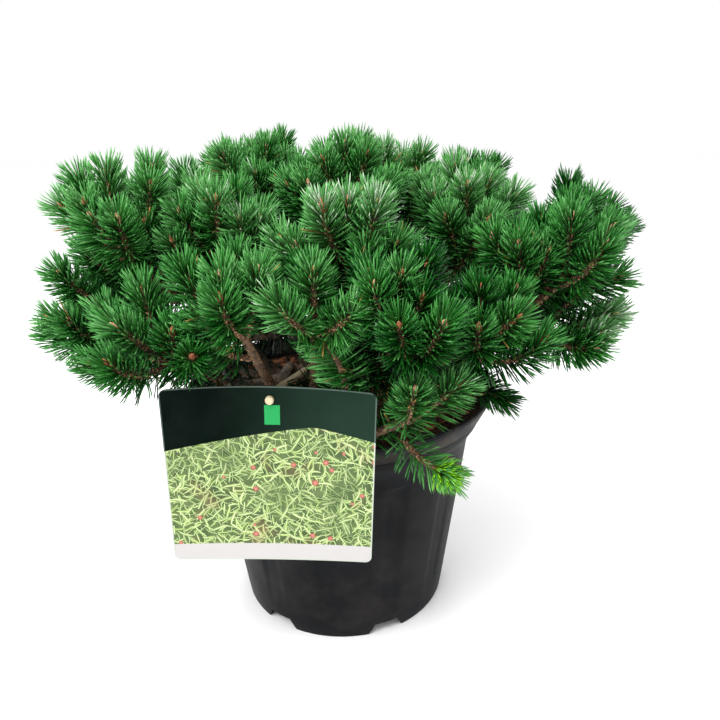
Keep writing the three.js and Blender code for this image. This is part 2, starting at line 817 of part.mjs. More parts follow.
/** One mass of foliage: a leader from its root to its end bud, with whorls of side shoots on it. */
function foliageSolid(spray, sprays, limbs) {
  const stems = sprays
    .filter((other) => other !== spray)
    .map((other) => ({
      path: { points: [other.root, other.whorlPoint] },
      radiusAt: () => TWIG.stemRadius,
    }));
  const space = spaceOf(spray, sprays, woodSamples([...limbs, ...stems]));
  const random = new Seeded(SEED.needles + spray.order);
  const leader = [];
  for (let ring = 0; ring <= TWIG.leaderBands; ring += 1) {
    const along = ((SPRAY.stem + SPRAY.leader - TWIG.budLength) * ring) / TWIG.leaderBands;
    leader.push(
      along < SPRAY.stem
        ? spray.root.clone().addScaledVector(spray.aim, along)
        : spray.whorlPoint.clone().addScaledVector(spray.leaderAim, along - SPRAY.stem),
    );
  }
  const paths = [leader];
  for (const shoot of spray.shoots) {
    const path = fittedShoot(shoot, space);
    if (path !== null) paths.push(path);
  }
  const twigs = paths.map((path, index) => {
    const others = paths.filter((other) => other !== path);
    const ownSpace = (point) => {
      const own = distanceToPath(point, path) + TWIG.apart;
      return space(point) && others.every((other) => distanceToPath(point, other) > own);
    };
    const isLeader = index === 0;
    return needledTwig({
      path,
      radiusAt: taper(isLeader ? TWIG.stemRadius : TWIG.rootRadius, TWIG.tipRadius),
      bare: TWIG.bareBands,
      bud: TWIG.budLength,
      space: ownSpace,
      random,
    });
  });
  return largest(wasm.Manifold.union(twigs));
}

// --- the plant in its pot -------------------------------------------------------------------

function named(name, body, finish) {
  const material = new THREE.MeshStandardMaterial({ ...finish, metalness: 0 });
  const mesh = new THREE.Mesh(geometryOf(body), material);
  mesh.name = name;
  return mesh;
}

const plant = new THREE.Group();
const sprays = planCrown();
const limbs = growLimbs(sprays);
const peg = pegLimb(limbs[0]);

plant.add(named("pot", potSolid(), FINISH.pot));
plant.add(named("soil", soilSolid(), FINISH.soil));
for (const { name, body } of limbs) plant.add(named(name, body, FINISH.bark));
plant.add(named("label", labelSolid(), FINISH.label));
plant.add(named(peg.name, peg.body, FINISH.peg));
for (const spray of sprays) {
  const name = `foliage_${spray.tier}_${twoDigits(spray.index + 1)}`;
  plant.add(named(name, foliageSolid(spray, sprays, [...limbs, peg]), FINISH.needles));
}

export default plant;
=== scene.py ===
import logging
import math
from dataclasses import dataclass, fields
from enum import Enum

import bmesh
import bpy
import numpy as np
from bpy.types import Material, Node, NodeSocket, NodeTree, Object
from mathutils import Matrix, Vector, noise


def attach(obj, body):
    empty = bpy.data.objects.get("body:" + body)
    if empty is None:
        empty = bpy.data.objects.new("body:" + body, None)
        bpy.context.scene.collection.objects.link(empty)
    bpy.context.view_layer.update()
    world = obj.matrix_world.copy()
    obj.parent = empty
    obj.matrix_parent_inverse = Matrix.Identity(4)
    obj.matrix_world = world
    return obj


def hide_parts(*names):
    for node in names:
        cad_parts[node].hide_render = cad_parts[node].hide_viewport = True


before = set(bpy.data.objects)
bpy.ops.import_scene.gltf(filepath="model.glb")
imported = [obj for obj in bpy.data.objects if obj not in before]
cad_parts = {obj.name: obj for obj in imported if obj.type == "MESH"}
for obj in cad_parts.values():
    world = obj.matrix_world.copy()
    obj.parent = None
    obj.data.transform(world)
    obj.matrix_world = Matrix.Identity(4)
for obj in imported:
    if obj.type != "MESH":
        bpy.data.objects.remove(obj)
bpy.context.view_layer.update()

# A dwarf mountain pine in its nursery pot: its finishes, and its growth carried to single needles.
# Sizes are in millimetres, and become metres where a mesh or an object is made.

LOG = logging.getLogger("pine")
MM = 0.001
BODY = "root"
UP = np.array([0.0, 0.0, 1.0])
SIDEWAYS = np.array([1.0, 0.0, 0.0])
GOLDEN_ANGLE = math.radians(137.508)

Span = tuple[float, float]
Point = tuple[float, float, float]
Colour = tuple[float, float, float, float]
Shape = tuple[np.ndarray, np.ndarray]


# --- small helpers ---


def unit(vectors: np.ndarray) -> np.ndarray:
    """Vectors scaled to length one."""
    return vectors / np.linalg.norm(vectors, axis=-1, keepdims=True)


def heading(azimuth: float, rise: float) -> np.ndarray:
    """A direction from an azimuth and a rise, both in radians."""
    flat = math.cos(rise)
    return np.array([math.cos(azimuth) * flat, math.sin(azimuth) * flat, math.sin(rise)])


def mix(low: float, high: float, share: float) -> float:
    """The value at a share of the way from low to high."""
    return low + (high - low) * share


def smooth_step(low: float, high: float, value: np.ndarray) -> np.ndarray:
    """Rises softly from 0 at low to 1 at high."""
    share = np.clip((value - low) / (high - low), 0, 1)
    return share * share * (3 - 2 * share)


def settle(piece: Object, slot: str, *nodes: str) -> None:
    """Hides the solids that a piece stands for and lets it ride on the one body.

    Args:
        piece: The finished piece.
        slot: Not used.
        nodes: The solids' names.
    """
    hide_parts(*nodes)
    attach(piece, BODY)
    LOG.info("%s: %d faces", piece.name, len(piece.data.polygons))


class Seeded:
    """A repeatable stream of numbers from a 32-bit linear congruential generator."""

    def __init__(self, seed: int) -> None:
        """Starts the stream and lets it warm up.

        Args:
            seed: The stream's number.
        """
        self.state = (seed * 2654435761) & 0xFFFFFFFF
        for _ in range(3):
            self.next()

    def next(self) -> float:
        """The next number from 0 to 1."""
        self.state = (self.state * 1664525 + 1013904223) & 0xFFFFFFFF
        return self.state / 4294967296

    def span(self, limits: Span) -> float:
        """The next number between two limits."""
        return mix(limits[0], limits[1], self.next())


# --- the growth rule's sizes ---


@dataclass(frozen=True)
class Sides:
    """One value for each of the plant's four sides."""

    right: float
    back: float
    left: float
    front: float

    def at(self, azimuth: float) -> float:
        """The four values blended.

        Args:
            azimuth: The direction, in radians from +X.

        Returns:
            The value in that direction.
        """
        c = math.cos(azimuth)
        s = math.sin(azimuth)
        across = self.right if c > 0 else self.left
        along = self.back if s > 0 else self.front
        return c * c * across + s * s * along


class TierName(Enum):
    """The tiers of sprays, from the lowest to the highest, and the two sprays by the rim."""

    SKIRT = "skirt"
    SHOULDER = "shoulder"
    UPPER = "upper"
    TOP = "top"
    HANGING = "hanging"
    RIM = "rim"


@dataclass(frozen=True)
class Tier:
    """Sprays that stand round the plant at one level."""

    name: TierName  # which tier it is
    count: int  # how many sprays it has
    start: float  # azimuth of the first, in degrees
    spread: Sides  # share of the crown's reach at which its tips stand on each side
    heights: Sides  # height of the tips on each side
    rise: float  # how steeply the sprays point up, in degrees
    front_rise: float  # how many degrees more they point up on the front side
    lift: float  # how much their side shoots turn up
    # painted light and shade: the tier's needles are made lighter or darker on each side, for how the light
    # falls there
    light: Sides  # how much lighter than usual their needles are on each side


@dataclass(frozen=True)
class Place:
    """Where one spray ends and how it points, its heading and rise in degrees."""

    tip: np.ndarray
    heading: float  # azimuth of its stem
    rise: float  # rise of its stem
    lift: float  # how much its side shoots turn up where they start
    turn: float  # how much more its shoots turn up in their outer parts
    ahead: float = 8  # how far the middle of its own space lies ahead of its whorl


@dataclass(frozen=True)
class Whorl:
    """Side shoots that leave a spray's stem together."""

    count: int  # how many there are
    angle: Span  # their angle from the stem, in degrees
    length: Span
    back: Span  # how far below the stem's end they leave it
    bands: int  # stretches in which their room is felt out


@dataclass(frozen=True)
class Pocket:
    """An open place in the crown, round a line between two points."""

    start: Point  # one end of the line
    end: Point  # its other end
    radius: float  # how far it reaches round the line

    def outside(self, points: np.ndarray) -> np.ndarray:
        """Tells which points lie outside it.

        Args:
            points: Points, one to a row.

        Returns:
            One truth value for each point.
        """
        start = np.array(self.start)
        line = np.array(self.end) - start
        share = np.clip((points - start) @ line / line.dot(line), 0, 1)
        return np.linalg.norm(points - start - share[:, None] * line, axis=1) > self.radius


@dataclass(frozen=True)
class LoneShoot:
    """A shoot outside the whorls."""

    line: tuple[Point, Point, Point]  # its root, its middle and its tip
    tone: float  # how light its needles are
    old: bool = False  # whether it is old wood
    density: float = 1  # how much closer than usual its needles stand


@dataclass(frozen=True)
class LimbSize:
    """How thick a limb is and how it bends."""

    root_radius: float  # its radius where it starts
    tip_radius: float  # its radius where it ends
    segments: int  # how many stretches its path has
    pull: float  # share of its span along which it keeps its direction at both ends


TIERS = (
    Tier(
        TierName.SKIRT, 10, -93, Sides(0.97, 1, 0.98, 1), Sides(354, 350, 358, 386), 12, 20, 0.26,
        light=Sides(0, 0, 0, 0),
    ),
    Tier(
        TierName.SHOULDER, 9, -76, Sides(0.99, 0.92, 0.89, 0.92), Sides(439, 474, 464, 428), 46, 4, 0.4,
        light=Sides(-0.22, -0.14, 0.22, -0.18),
    ),
    Tier(
        TierName.UPPER, 5, -80, Sides(0.53, 0.53, 0.53, 0.53), Sides(476, 480, 468, 462), 68, 0, 0.4,
        light=Sides(0.24, 0.1, 0, 0.26),
    ),
    Tier(
        TierName.TOP, 1, 60, Sides(0.06, 0.06, 0.06, 0.06), Sides(490, 490, 490, 490), 86, 0, 0.4,
        light=Sides(0.16, 0.16, 0.16, 0.16),
    ),
)
# Painted light and shade for single sprays: their needles are made lighter or darker to stand in for the
# light and shadow that fall on them.
SPRAY_PAINTED_LIGHT = {"foliage_skirt_02": -0.2, "foliage_skirt_03": 0.3, "foliage_skirt_10": -0.2}
FRONT = Place(np.array([-12.0, -186.0, 420.0]), -82, 62, 0.3, 0.5)
SINGLES = {
    TierName.HANGING: Place(np.array([95.0, -178.0, 246.0]), -38, -20, 0, 0, 44),
    TierName.RIM: Place(np.array([106.0, -200.0, 330.0]), -26, 30, 0.3, 0.3),
}
PEG_POCKET = Pocket((-43, -248.5, 366.8), (-66, -70, 299), 22)
DROPPED_SHOOTS = {
    "foliage_hanging_01": (0, 1, 2, 3, 4, 5, 6),
    "foliage_rim_01": (0, 4),
    "foliage_skirt_01": (1, 2, 3, 5),
    "foliage_skirt_02": (4,),
    "foliage_skirt_03": (6,),
    "foliage_shoulder_03": (4,),
    "foliage_shoulder_07": (0,),
    "foliage_shoulder_08": (1,),
}
LONE_SHOOTS = (
    LoneShoot(((92, -36, 290), (128, -62, 274), (163, -77, 258)), 0.36),
    LoneShoot(((204, -86, 346), (226, -98, 372), (247, -112, 388)), 0.4),
    LoneShoot(((182, -78, 334), (204, -108, 326), (225, -134, 331)), 0.3),
    LoneShoot(((-206, -70, 352), (-226, -92, 376), (-238, -108, 398)), 0.45),
    LoneShoot(((-128, -140, 338), (-120, -168, 338), (-111, -192, 350)), 0.35),
    LoneShoot(((-150, 40, 412), (-156, 44, 440), (-158, 47, 466)), 0.5),
    LoneShoot(((-190, -80, 420), (-208, -82, 448), (-220, -80, 474)), 0.5),
    LoneShoot(((-44, 59, 295), (-66, 66, 282), (-90, 62, 277)), 0.1),
    LoneShoot(((-88, 124, 377), (-72, 118, 394), (-54, 114, 404)), 0.2),
    LoneShoot(((-67, 63, 369), (-58, 66, 392), (-47, 72, 409)), 0.2),
    LoneShoot(((61, 97, 395), (76, 110, 398), (91, 125, 396)), 0.2),
    LoneShoot(((-14, -6, 323), (6, -12, 318), (25, -19, 322)), 0.1),
    LoneShoot(((36, -136, 311), (28, -158, 318), (12, -176, 330)), 0.3),
    LoneShoot(((10, -86, 342), (16, -108, 334), (26, -132, 332)), 0.25),
    LoneShoot(((-15, -164, 357), (-26, -190, 374), (-43, -199, 397)), 0.66),
    LoneShoot(((-15, -164, 357), (4, -190, 372), (20, -201, 390)), 0.66),
    # the old stem under the front spray: its needles are painted lighter, painted light where the sprays
    # above shade it
    LoneShoot(((9, -153, 258), (8, -176, 326), (-13, -168, 358)), 0.85, True, 2.6),
    LoneShoot(((24, 157, 384), (-5, 178, 392), (-32, 190, 408)), 0.4),
    LoneShoot(((-82, 116, 368), (-62, 140, 385), (-45, 158, 405)), 0.3),
)
HANGING_SAG = ((-4, -15, -4), (1, -13, -7))
BOUGH = LimbSize(7.2, 4.4, 5, 0.4)
SIDE_BRANCH = LimbSize(5.2, 4.0, 5, 0.36)
UPPER_BRANCH = LimbSize(5.8, 4.2, 5, 0.36)
TRUNK = LimbSize(18, 4.8, 12, 0.4)


@dataclass(frozen=True)
class PotSize:
    """Sizes of the pot and of the compost in it."""

    height: float = 250
    base_radius: float = 114.2
    shoulder_radius: float = 139.5
    shoulder_z: float = 195
    neck_radius: float = 148.5
    neck_z: float = 219
    lip_radius: float = 164
    lip_height: float = 4
    wall: float = 2.6
    soil_top: float = 232

    def outer(self, z: np.ndarray) -> np.ndarray:
        """Radius of the outer wall.

        Args:
            z: Heights.

        Returns:
            The radius at each height.
        """
        heights = [0, self.shoulder_z, self.neck_z, self.height - self.lip_height, self.height]
        radii = [self.base_radius, self.shoulder_radius, self.neck_radius, self.lip_radius, self.lip_radius]
        return np.interp(z, heights, radii)


@dataclass(frozen=True)
class LabelSize:
    """Sizes of the label, which stands upright and curls towards -Y at its ends.

    Its curl is tighter at the top than at the foot. The radius in between, bow, is what foliage keeps off.
    """

    width: float = 179
    height: float = 169
    thickness: float = 1
    corner: float = 6
    centre: Point = (-57, -172, 229)
    bow: float = 780
    top_bow: float = 340
    foot_bow: float = 1400
    arch: float = 3
    roll: float = 2.1
    hole_below_top: float = 9
    hole_radius: float = 4.2

    def curl(self, x: np.ndarray) -> np.ndarray:
        """How far the sheet's back lies towards -Y at a distance from its middle."""
        return np.sqrt(self.bow**2 - np.asarray(x, float) ** 2) - self.bow

    def touches(self, points: np.ndarray, room: float) -> np.ndarray:
        """Tells which points lie in the sheet or nearer to it than some room.

        Args:
            points: Points, one to a row.
            room: The distance.

        Returns:
            One truth value for each point.
        """
        level = points - np.array(self.centre)
        roll = math.radians(self.roll)
        x = level[:, 0] * math.cos(roll) - level[:, 2] * math.sin(roll)
        z = level[:, 0] * math.sin(roll) + level[:, 2] * math.cos(roll)
        within = (np.abs(x) < self.width / 2 + room) & (np.abs(z) < self.height / 2 + self.arch + room)
        x = np.where(within, x, 0)
        curls = [np.sqrt(bow**2 - x**2) - bow for bow in (self.foot_bow, self.top_bow)]
        back = mix(curls[0], curls[1], (z + self.height / 2) / self.height)
        return within & (level[:, 1] < back + room) & (level[:, 1] > back - self.thickness - room)

    def hole(self) -> np.ndarray:
        """The middle of the hole at the sheet's back.

        Returns:
            A point.
        """
        down = self.height / 2 - self.hole_below_top
        roll = math.radians(self.roll)
        return np.array(self.centre) + np.array([down * math.sin(roll), 0, down * math.cos(roll)])


POT = PotSize()
LABEL = LabelSize()


# --- paths ---


def evenly_along(points: np.ndarray, count: int) -> np.ndarray:
    """Points spaced evenly along a chain of points.

    Args:
        points: The chain, close enough together to read as a curve.
        count: How many stretches to divide it into.

    Returns:
        count + 1 points.
    """
    steps = np.linalg.norm(np.diff(points, axis=0), axis=1)
    along = np.concatenate([[0], np.cumsum(steps)])
    wanted = np.linspace(0, along[-1], count + 1)
    return np.stack([np.interp(wanted, along, points[:, axis]) for axis in range(3)], axis=1)


def bend_between(
    start: np.ndarray, start_aim: np.ndarray, end: np.ndarray, end_aim: np.ndarray, pull: float
) -> np.ndarray:
    """A smooth curve from one point and direction to another.

    Args:
        start: Where it starts.
        start_aim: Direction in which it starts.
        end: Where it ends.
        end_aim: Direction in which it ends.
        pull: Share of its span along which it keeps each direction.

    Returns:
        A close chain of points.
    """
    span = np.linalg.norm(end - start)
    near_start = start + start_aim * span * pull
    near_end = end - end_aim * span * pull
    t = np.linspace(0, 1, 201)[:, None]
    u = 1 - t
    return u**3 * start + 3 * u * u * t * near_start + 3 * u * t * t * near_end + t**3 * end


def frames_along(points: np.ndarray) -> tuple[np.ndarray, np.ndarray, np.ndarray]:
    """Directions along and across a path at each of its points, turned as little as possible.

    Args:
        points: The path.

    Returns:
        The unit vectors along the path and two across it.
    """
    along = unit(np.gradient(points, axis=0))
    helper = UP if abs(along[0][2]) < 0.9 else SIDEWAYS
    across = np.empty_like(points)
    across[0] = unit(np.cross(helper, along[0]))
    for index in range(1, len(points)):
        across[index] = unit(across[index - 1] - along[index] * across[index - 1].dot(along[index]))
    return along, across, np.cross(along, across)


def point_along(points: np.ndarray, share: float) -> np.ndarray:
    """A point of a path of even stretches.

    Args:
        points: The path.
        share: Share of its length at which the point lies.

    Returns:
        The point.
    """
    place = min(share * (len(points) - 1), len(points) - 1.0001)
    below = int(place)
    return mix(points[below], points[below + 1], place - below)


def point_at_height(points: np.ndarray, z: float) -> np.ndarray:
    """The point at which a climbing path reaches a height.

    Args:
        points: The path.
        z: The height.

    Returns:
        The point.
    """
    above = max(1, int(np.argmax(points[:, 2] >= z)))
    low = points[above - 1]
    high = points[above]
    return mix(low, high, (z - low[2]) / (high[2] - low[2]))


# --- the crown's plan ---


@dataclass
class Shoot:
    """A side shoot: three points from the twig it grows on to its bud."""

    line: np.ndarray
    bands: int


@dataclass
class Spray:
    """One mass of foliage: a stem that ends in a bud, with side shoots round it."""

    tier: TierName
    index: int
    order: int
    place: Place
    aim: np.ndarray
    leader_aim: np.ndarray
    whorl_point: np.ndarray
    root: np.ndarray
    centre: np.ndarray
    shoots: list[Shoot]
    # painted light and shade: how much lighter or darker its needles are made for where it stands
    light: float = 0

    @property
    def node(self) -> str:
        """The name of the solid it stands for."""
        return f"foliage_{self.tier.value}_{self.index + 1:02d}"


@dataclass(frozen=True)
class CrownRule:
    """The rule that places every spray, and its sizes."""

    reach: Sides = Sides(284, 254, 294, 226)
    roundness: float = 2.3
    front_turn: float = 0.5
    stray_place: Span = (-0.12, 0.12)
    stray_reach: Span = (0.96, 1.03)
    stray_z: Span = (-12, 12)
    stray_rise: Span = (-8, 8)
    leader: float = 62
    stem: float = 70
    bend: float = 0.4
    whorl: Whorl = Whorl(4, (40, 54), (58, 72), (0, 10), 3)
    lower: Whorl = Whorl(3, (58, 72), (80, 98), (26, 46), 3)
    lower_turn: float = math.pi / 4
    seed: int = 101

    def crown_reach(self, azimuth: float) -> float:
        """How far the tips reach from the pot's axis.

        Args:
            azimuth: The direction, in radians from +X.

        Returns:
            The reach in that direction.
        """
        c = math.cos(azimuth)
        s = math.sin(azimuth)
        x = abs(c / (self.reach.right if c > 0 else self.reach.left)) ** self.roundness
        y = abs(s / (self.reach.back if s > 0 else self.reach.front)) ** self.roundness
        return (x + y) ** (-1 / self.roundness)

    def whorl_shoots(
        self, aim: np.ndarray, point: np.ndarray, place: Place, random: Seeded, turn: float, whorl: Whorl
    ) -> list[Shoot]:
        """The side shoots of one whorl.

        Args:
            aim: Direction of the stem.
            point: The end of the stem's older part.
            place: How the spray stands.
            random: The spray's own stream of numbers.
            turn: Angle round the stem of the first shoot.
            whorl: The whorl's sizes.

        Returns:
            Its shoots.
        """
        helper = UP if abs(aim[2]) < 0.95 else SIDEWAYS
        across = unit(np.cross(aim, helper))
        beside = np.cross(aim, across)
        shoots = []
        for index in range(whorl.count):
            around = turn + 2 * math.pi * (index + random.span(self.stray_place)) / whorl.count
            angle = math.radians(random.span(whorl.angle))
            length = random.span(whorl.length)
            start = point - aim * random.span(whorl.back)
            side = across * math.cos(around) + beside * math.sin(around)
            out = unit(aim * math.cos(angle) + side * math.sin(angle) + UP * place.lift)
            end = unit(out + UP * (self.bend + place.turn))
            middle = start + out * length / 2
            shoots.append(Shoot(np.array([start, middle, middle + end * length / 2]), whorl.bands))
        return shoots

    def place_spray(self, tier: TierName, index: int, order: int, random: Seeded, place: Place) -> Spray:
        """One spray at its place.

        Args:
            tier: Its tier.
            index: Its number in the tier.
            order: Its number in the crown.
            random: Its own stream of numbers.
            place: Its tip and direction.

        Returns:
            The spray with all its side shoots.
        """
        aim = heading(math.radians(place.heading), math.radians(place.rise))
        leader_aim = unit(aim + UP * place.turn)
        point = place.tip - leader_aim * self.leader
        turn = random.span((0, 2 * math.pi))
        shoots = self.whorl_shoots(aim, point, place, random, turn, self.whorl)
        shoots += self.whorl_shoots(aim, point, place, random, turn + self.lower_turn, self.lower)
        root = point - aim * self.stem
        centre = point + leader_aim * place.ahead
        return Spray(tier, index, order, place, aim, leader_aim, point, root, centre, shoots)

    def plan(self) -> list[Spray]:
        """Places every spray of the crown.

        Returns:
            The sprays, tier by tier, and the two by the rim last.
        """
        sprays: list[Spray] = []
        for tier in TIERS:
            for index in range(tier.count):
                order = len(sprays)
                random = Seeded(self.seed + order)
                azimuth = tier.start + 360 / tier.count * (index + random.span(self.stray_place))
                angle = math.radians(azimuth)
                reach = self.crown_reach(angle) * tier.spread.at(angle) * random.span(self.stray_reach)
                z = tier.heights.at(angle) + random.span(self.stray_z)
                front = max(0.0, -math.sin(angle))
                rise = tier.rise + random.span(self.stray_rise) + tier.front_rise * front
                tip = np.array([reach * math.cos(angle), reach * math.sin(angle), z])
                place = Place(tip, azimuth, rise, tier.lift, self.front_turn * front)
                if tier.name is TierName.SKIRT and index == 0:
                    place = FRONT
                spray = self.place_spray(tier.name, index, order, random, place)
                # painted light and shade: the spray's needles are made lighter or darker by its tier's side
                # and by its own painted light from the table above
                spray.light = tier.light.at(angle) + SPRAY_PAINTED_LIGHT.get(spray.node, 0)
                sprays.append(spray)
        for name, place in SINGLES.items():
            order = len(sprays)
            sprays.append(self.place_spray(name, 0, order, Seeded(self.seed + order), place))
        return sprays


# --- limbs ---


@dataclass
class Limb:
    """One tapering limb."""

    node: str  # the solid it stands for
    path: np.ndarray  # its even stretches
    curve: np.ndarray  # the same path as a close chain of points
    size: LimbSize  # its radii
    flare: float = 0  # extra radius at its foot, which only the trunk has
    flare_height: float = 9  # how soon the flare dies out

    def radius(self, share: np.ndarray) -> np.ndarray:
        """Its radius along its length.

        Args:
            share: Shares of its length.

        Returns:
            The radius at each share.
        """
        length = np.linalg.norm(self.path[-1] - self.path[0])
        straight = mix(self.size.root_radius, self.size.tip_radius, share)
        return straight + self.flare * np.exp(-share * length / self.flare_height)


@dataclass(frozen=True)
class LimbRule:
    """The rule that grows the limbs to the sprays."""

    gap: float = 0.3
    lean: Point = (-0.18, 0.1, 1)
    flare: float = 9
    bough_z: Span = (248, 266)
    bough_rise: float = 22
    upper_z: tuple[float, ...] = (300, 312, 324)
    upper_rise: float = 50
    side_along: float = 0.44
    side_rise: float = 66
    rim_along: float = 0.2
    rim_rise: float = 10

    def grow(
        self, node: str, start: np.ndarray, aim: np.ndarray | None, rise: float, spray: Spray, size: LimbSize
    ) -> Limb:
        """A limb from a point to a spray's root.

        Args:
            node: The solid it stands for.
            start: Where it starts.
            aim: Direction in which it starts, or None to head for the spray.
            rise: How steeply it starts when it heads for the spray, in degrees.
            spray: The spray it carries.
            size: Its sizes.

        Returns:
            The limb.
        """
        end = spray.root - spray.aim * self.gap
        if aim is None:
            aim = heading(math.atan2(end[1] - start[1], end[0] - start[0]), math.radians(rise))
        curve = bend_between(start, aim, end, spray.aim, size.pull)
        return Limb(node, evenly_along(curve, size.segments), curve, size)

    def all(self, sprays: list[Spray]) -> list[Limb]:
        """Grows every limb.

        Args:
            sprays: All sprays.

        Returns:
            The trunk, the boughs, the side branches and the upper branches.
        """
        tiers = {name: [spray for spray in sprays if spray.tier is name] for name in TierName}
        foot = np.array([0, 0, POT.soil_top - self.flare])
        trunk = self.grow("trunk", foot, unit(np.array(self.lean)), 0, tiers[TierName.TOP][0], TRUNK)
        trunk.flare = self.flare
        limbs = [trunk]
        for index, spray in enumerate(tiers[TierName.SKIRT]):
            start = point_at_height(trunk.path, self.bough_z[index % len(self.bough_z)])
            limbs.append(self.grow(f"bough_{index + 1:02d}", start, None, self.bough_rise, spray, BOUGH))
        boughs = limbs[1:]
        raised = tiers[TierName.HANGING] + tiers[TierName.SHOULDER]
        for index, spray in enumerate(raised):
            start = point_along(boughs[index].path, self.side_along)
            node = f"side_branch_{index + 1:02d}"
            limbs.append(self.grow(node, start, None, self.side_rise, spray, SIDE_BRANCH))
        start = point_along(boughs[1].path, self.rim_along)
        node = f"side_branch_{len(raised) + 1}"
        limbs.append(self.grow(node, start, None, self.rim_rise, tiers[TierName.RIM][0], SIDE_BRANCH))
        for index, spray in enumerate(tiers[TierName.UPPER]):
            start = point_at_height(trunk.path, self.upper_z[index % len(self.upper_z)])
            node = f"upper_branch_{index + 1}"
            limbs.append(self.grow(node, start, None, self.upper_rise, spray, UPPER_BRANCH))
        return limbs


@dataclass(frozen=True)
class PegSize:
    """Sizes of the wooden peg that holds the label against the trunk."""

    radius: float = 3.7
    proud: float = 3.5
    straight: float = 12
    seat_z: float = 284

    def path(self, trunk: Limb) -> np.ndarray:
        """The peg's way from its outer end through the label's hole to the trunk.

        Args:
            trunk: The trunk.

        Returns:
            Its three points.
        """
        hole = LABEL.hole()
        front = hole - np.array([0, LABEL.thickness + self.proud, 0])
        behind = hole + np.array([0, self.straight, 0])
        return np.array([front, behind, point_at_height(trunk.path, self.seat_z)])


PEG = PegSize()


# --- room in the crown ---


@dataclass(frozen=True)
class Margins:
    """How far foliage stays from what it does not grow from."""

    cell: float = 1.6  # from the middle plane to the next spray
    limb: float = 1.4  # from wood
    pot: float = 4.5  # from the pot and the compost
    label: float = 5  # from the label
    step: float = 4  # distance between the points at which wood is felt
    stem_radius: float = 4.4  # radius that the stems of other sprays are given
    needle: float = -3.2  # what is added to the others for needles, which may come closer
    sheet: float = 2  # from the label's sheet for needles


MARGINS = Margins()


def clear_of_pot(points: np.ndarray, margin: float) -> np.ndarray:
    """Tells which points are clear of the pot, the compost and the label.

    Args:
        points: Points, one to a row.
        margin: Extra distance to keep.

    Returns:
        One truth value for each point.
    """
    off_wall = MARGINS.pot + margin
    radius = np.hypot(points[:, 0], points[:, 1])
    low = points[:, 2] < POT.height + off_wall
    in_pot = low & (radius < POT.outer(np.maximum(0, points[:, 2])) + off_wall)
    across = points[:, 0] - LABEL.centre[0]
    beside = np.abs(across) > LABEL.width / 2 + LABEL.corner + margin
    over = np.abs(points[:, 2] - LABEL.centre[2]) > LABEL.height / 2 + LABEL.corner + margin
    back = LABEL.centre[1] + np.where(beside, 0, LABEL.curl(np.where(beside, 0, across)))
    off_sheet = MARGINS.label + margin
    off_label = (points[:, 1] > back + off_sheet) | (points[:, 1] < back - LABEL.thickness - off_sheet)
    return ~in_pot & (beside | over | off_label)


class SpraySpace:
    """The space that one spray keeps to."""

    def __init__(self, spray: Spray, sprays: list[Spray], limbs: list[Limb], peg: np.ndarray) -> None:
        """Finds the planes and the wood round the spray.

        Args:
            spray: The spray.
            sprays: All sprays.
            limbs: All limbs.
            peg: The peg's path.
        """
        others = [other for other in sprays if other is not spray]
        centres = np.array([other.centre for other in others])
        self.away = unit(centres - spray.centre)
        self.limit = np.sum(self.away * (centres + spray.centre) / 2, axis=1) - MARGINS.cell
        samples: list[np.ndarray] = []
        radii: list[float] = []
        wood = [(limb.path, limb.radius) for limb in limbs]
        wood.append((peg, lambda share: PEG.radius))
        for other in others:
            wood.append((np.array([other.root, other.whorl_point]), lambda share: MARGINS.stem_radius))
        for path, radius in wood:
            steps = math.ceil(np.linalg.norm(path[-1] - path[0]) / MARGINS.step)
            for step in range(steps + 1):
                samples.append(point_along(path, step / steps))
                radii.append(radius(step / steps) + MARGINS.limb)
        self.samples = np.array(samples)
        self.radii = np.array(radii)

    def holds(self, points: np.ndarray, margin: float) -> np.ndarray:
        """Tells which points lie in the space.

        Args:
            points: Points, one to a row.
            margin: Distance to keep round each.

        Returns:
            One truth value for each point.
        """
        inside = np.all(points @ self.away.T < self.limit - margin, axis=1)
        inside &= clear_of_pot(points, margin)
        distance = np.linalg.norm(points[:, None] - self.samples[None], axis=2)
        return inside & np.all(distance > self.radii + margin, axis=1)


# --- needled twigs ---


class Shade(Enum):
    """The greens of the needles, from old and shaded to young and light, and the odd ones."""

    DEEP = "deep"
    FOREST = "forest"
    GREEN = "green"
    FRESH = "fresh"
    PALE = "pale"
    LIME = "lime"
    DRY = "dry"


GREENS = (Shade.DEEP, Shade.FOREST, Shade.GREEN, Shade.FRESH, Shade.PALE)
GREEN_STEPS = np.array([0.22, 0.47, 0.74, 1.06])


class TwigAge(Enum):
    """How old a twig is, which sets how its needles stand."""

    OLD = "old"
    YOUNG = "young"


@dataclass
class Twig:
    """A twig with needles."""

    points: np.ndarray  # its smooth path, root to tip
    root_radius: float  # radius of its wood at the root
    tip_radius: float  # radius of its wood at the tip
    age: TwigAge
    tone: float  # how light its needles are, about 0 to 1
    seed: int  # seed of its needles
    shade: Shade | None = None  # one shade for all its needles, or None to mix greens by its tone
    needle_share: float = 1  # share of the usual length that its needles have
    density: float = 1  # how much closer than usual they stand

    @property
    def length(self) -> float:
        """Its length along the path."""
        return float(np.sum(np.linalg.norm(np.diff(self.points, axis=0), axis=1)))


@dataclass(frozen=True)
class SpurGrowth:
    """How one kind of short shoot leaves its twig, with its angles in degrees."""

    along: Span  # share of the twig at which it leaves
    angle: Span  # angle from the twig
    turn: Span  # how far it turns up out of the level
    length: Span
    lift: float  # how much it turns up after it leaves
    room: float  # distance it keeps from everything else


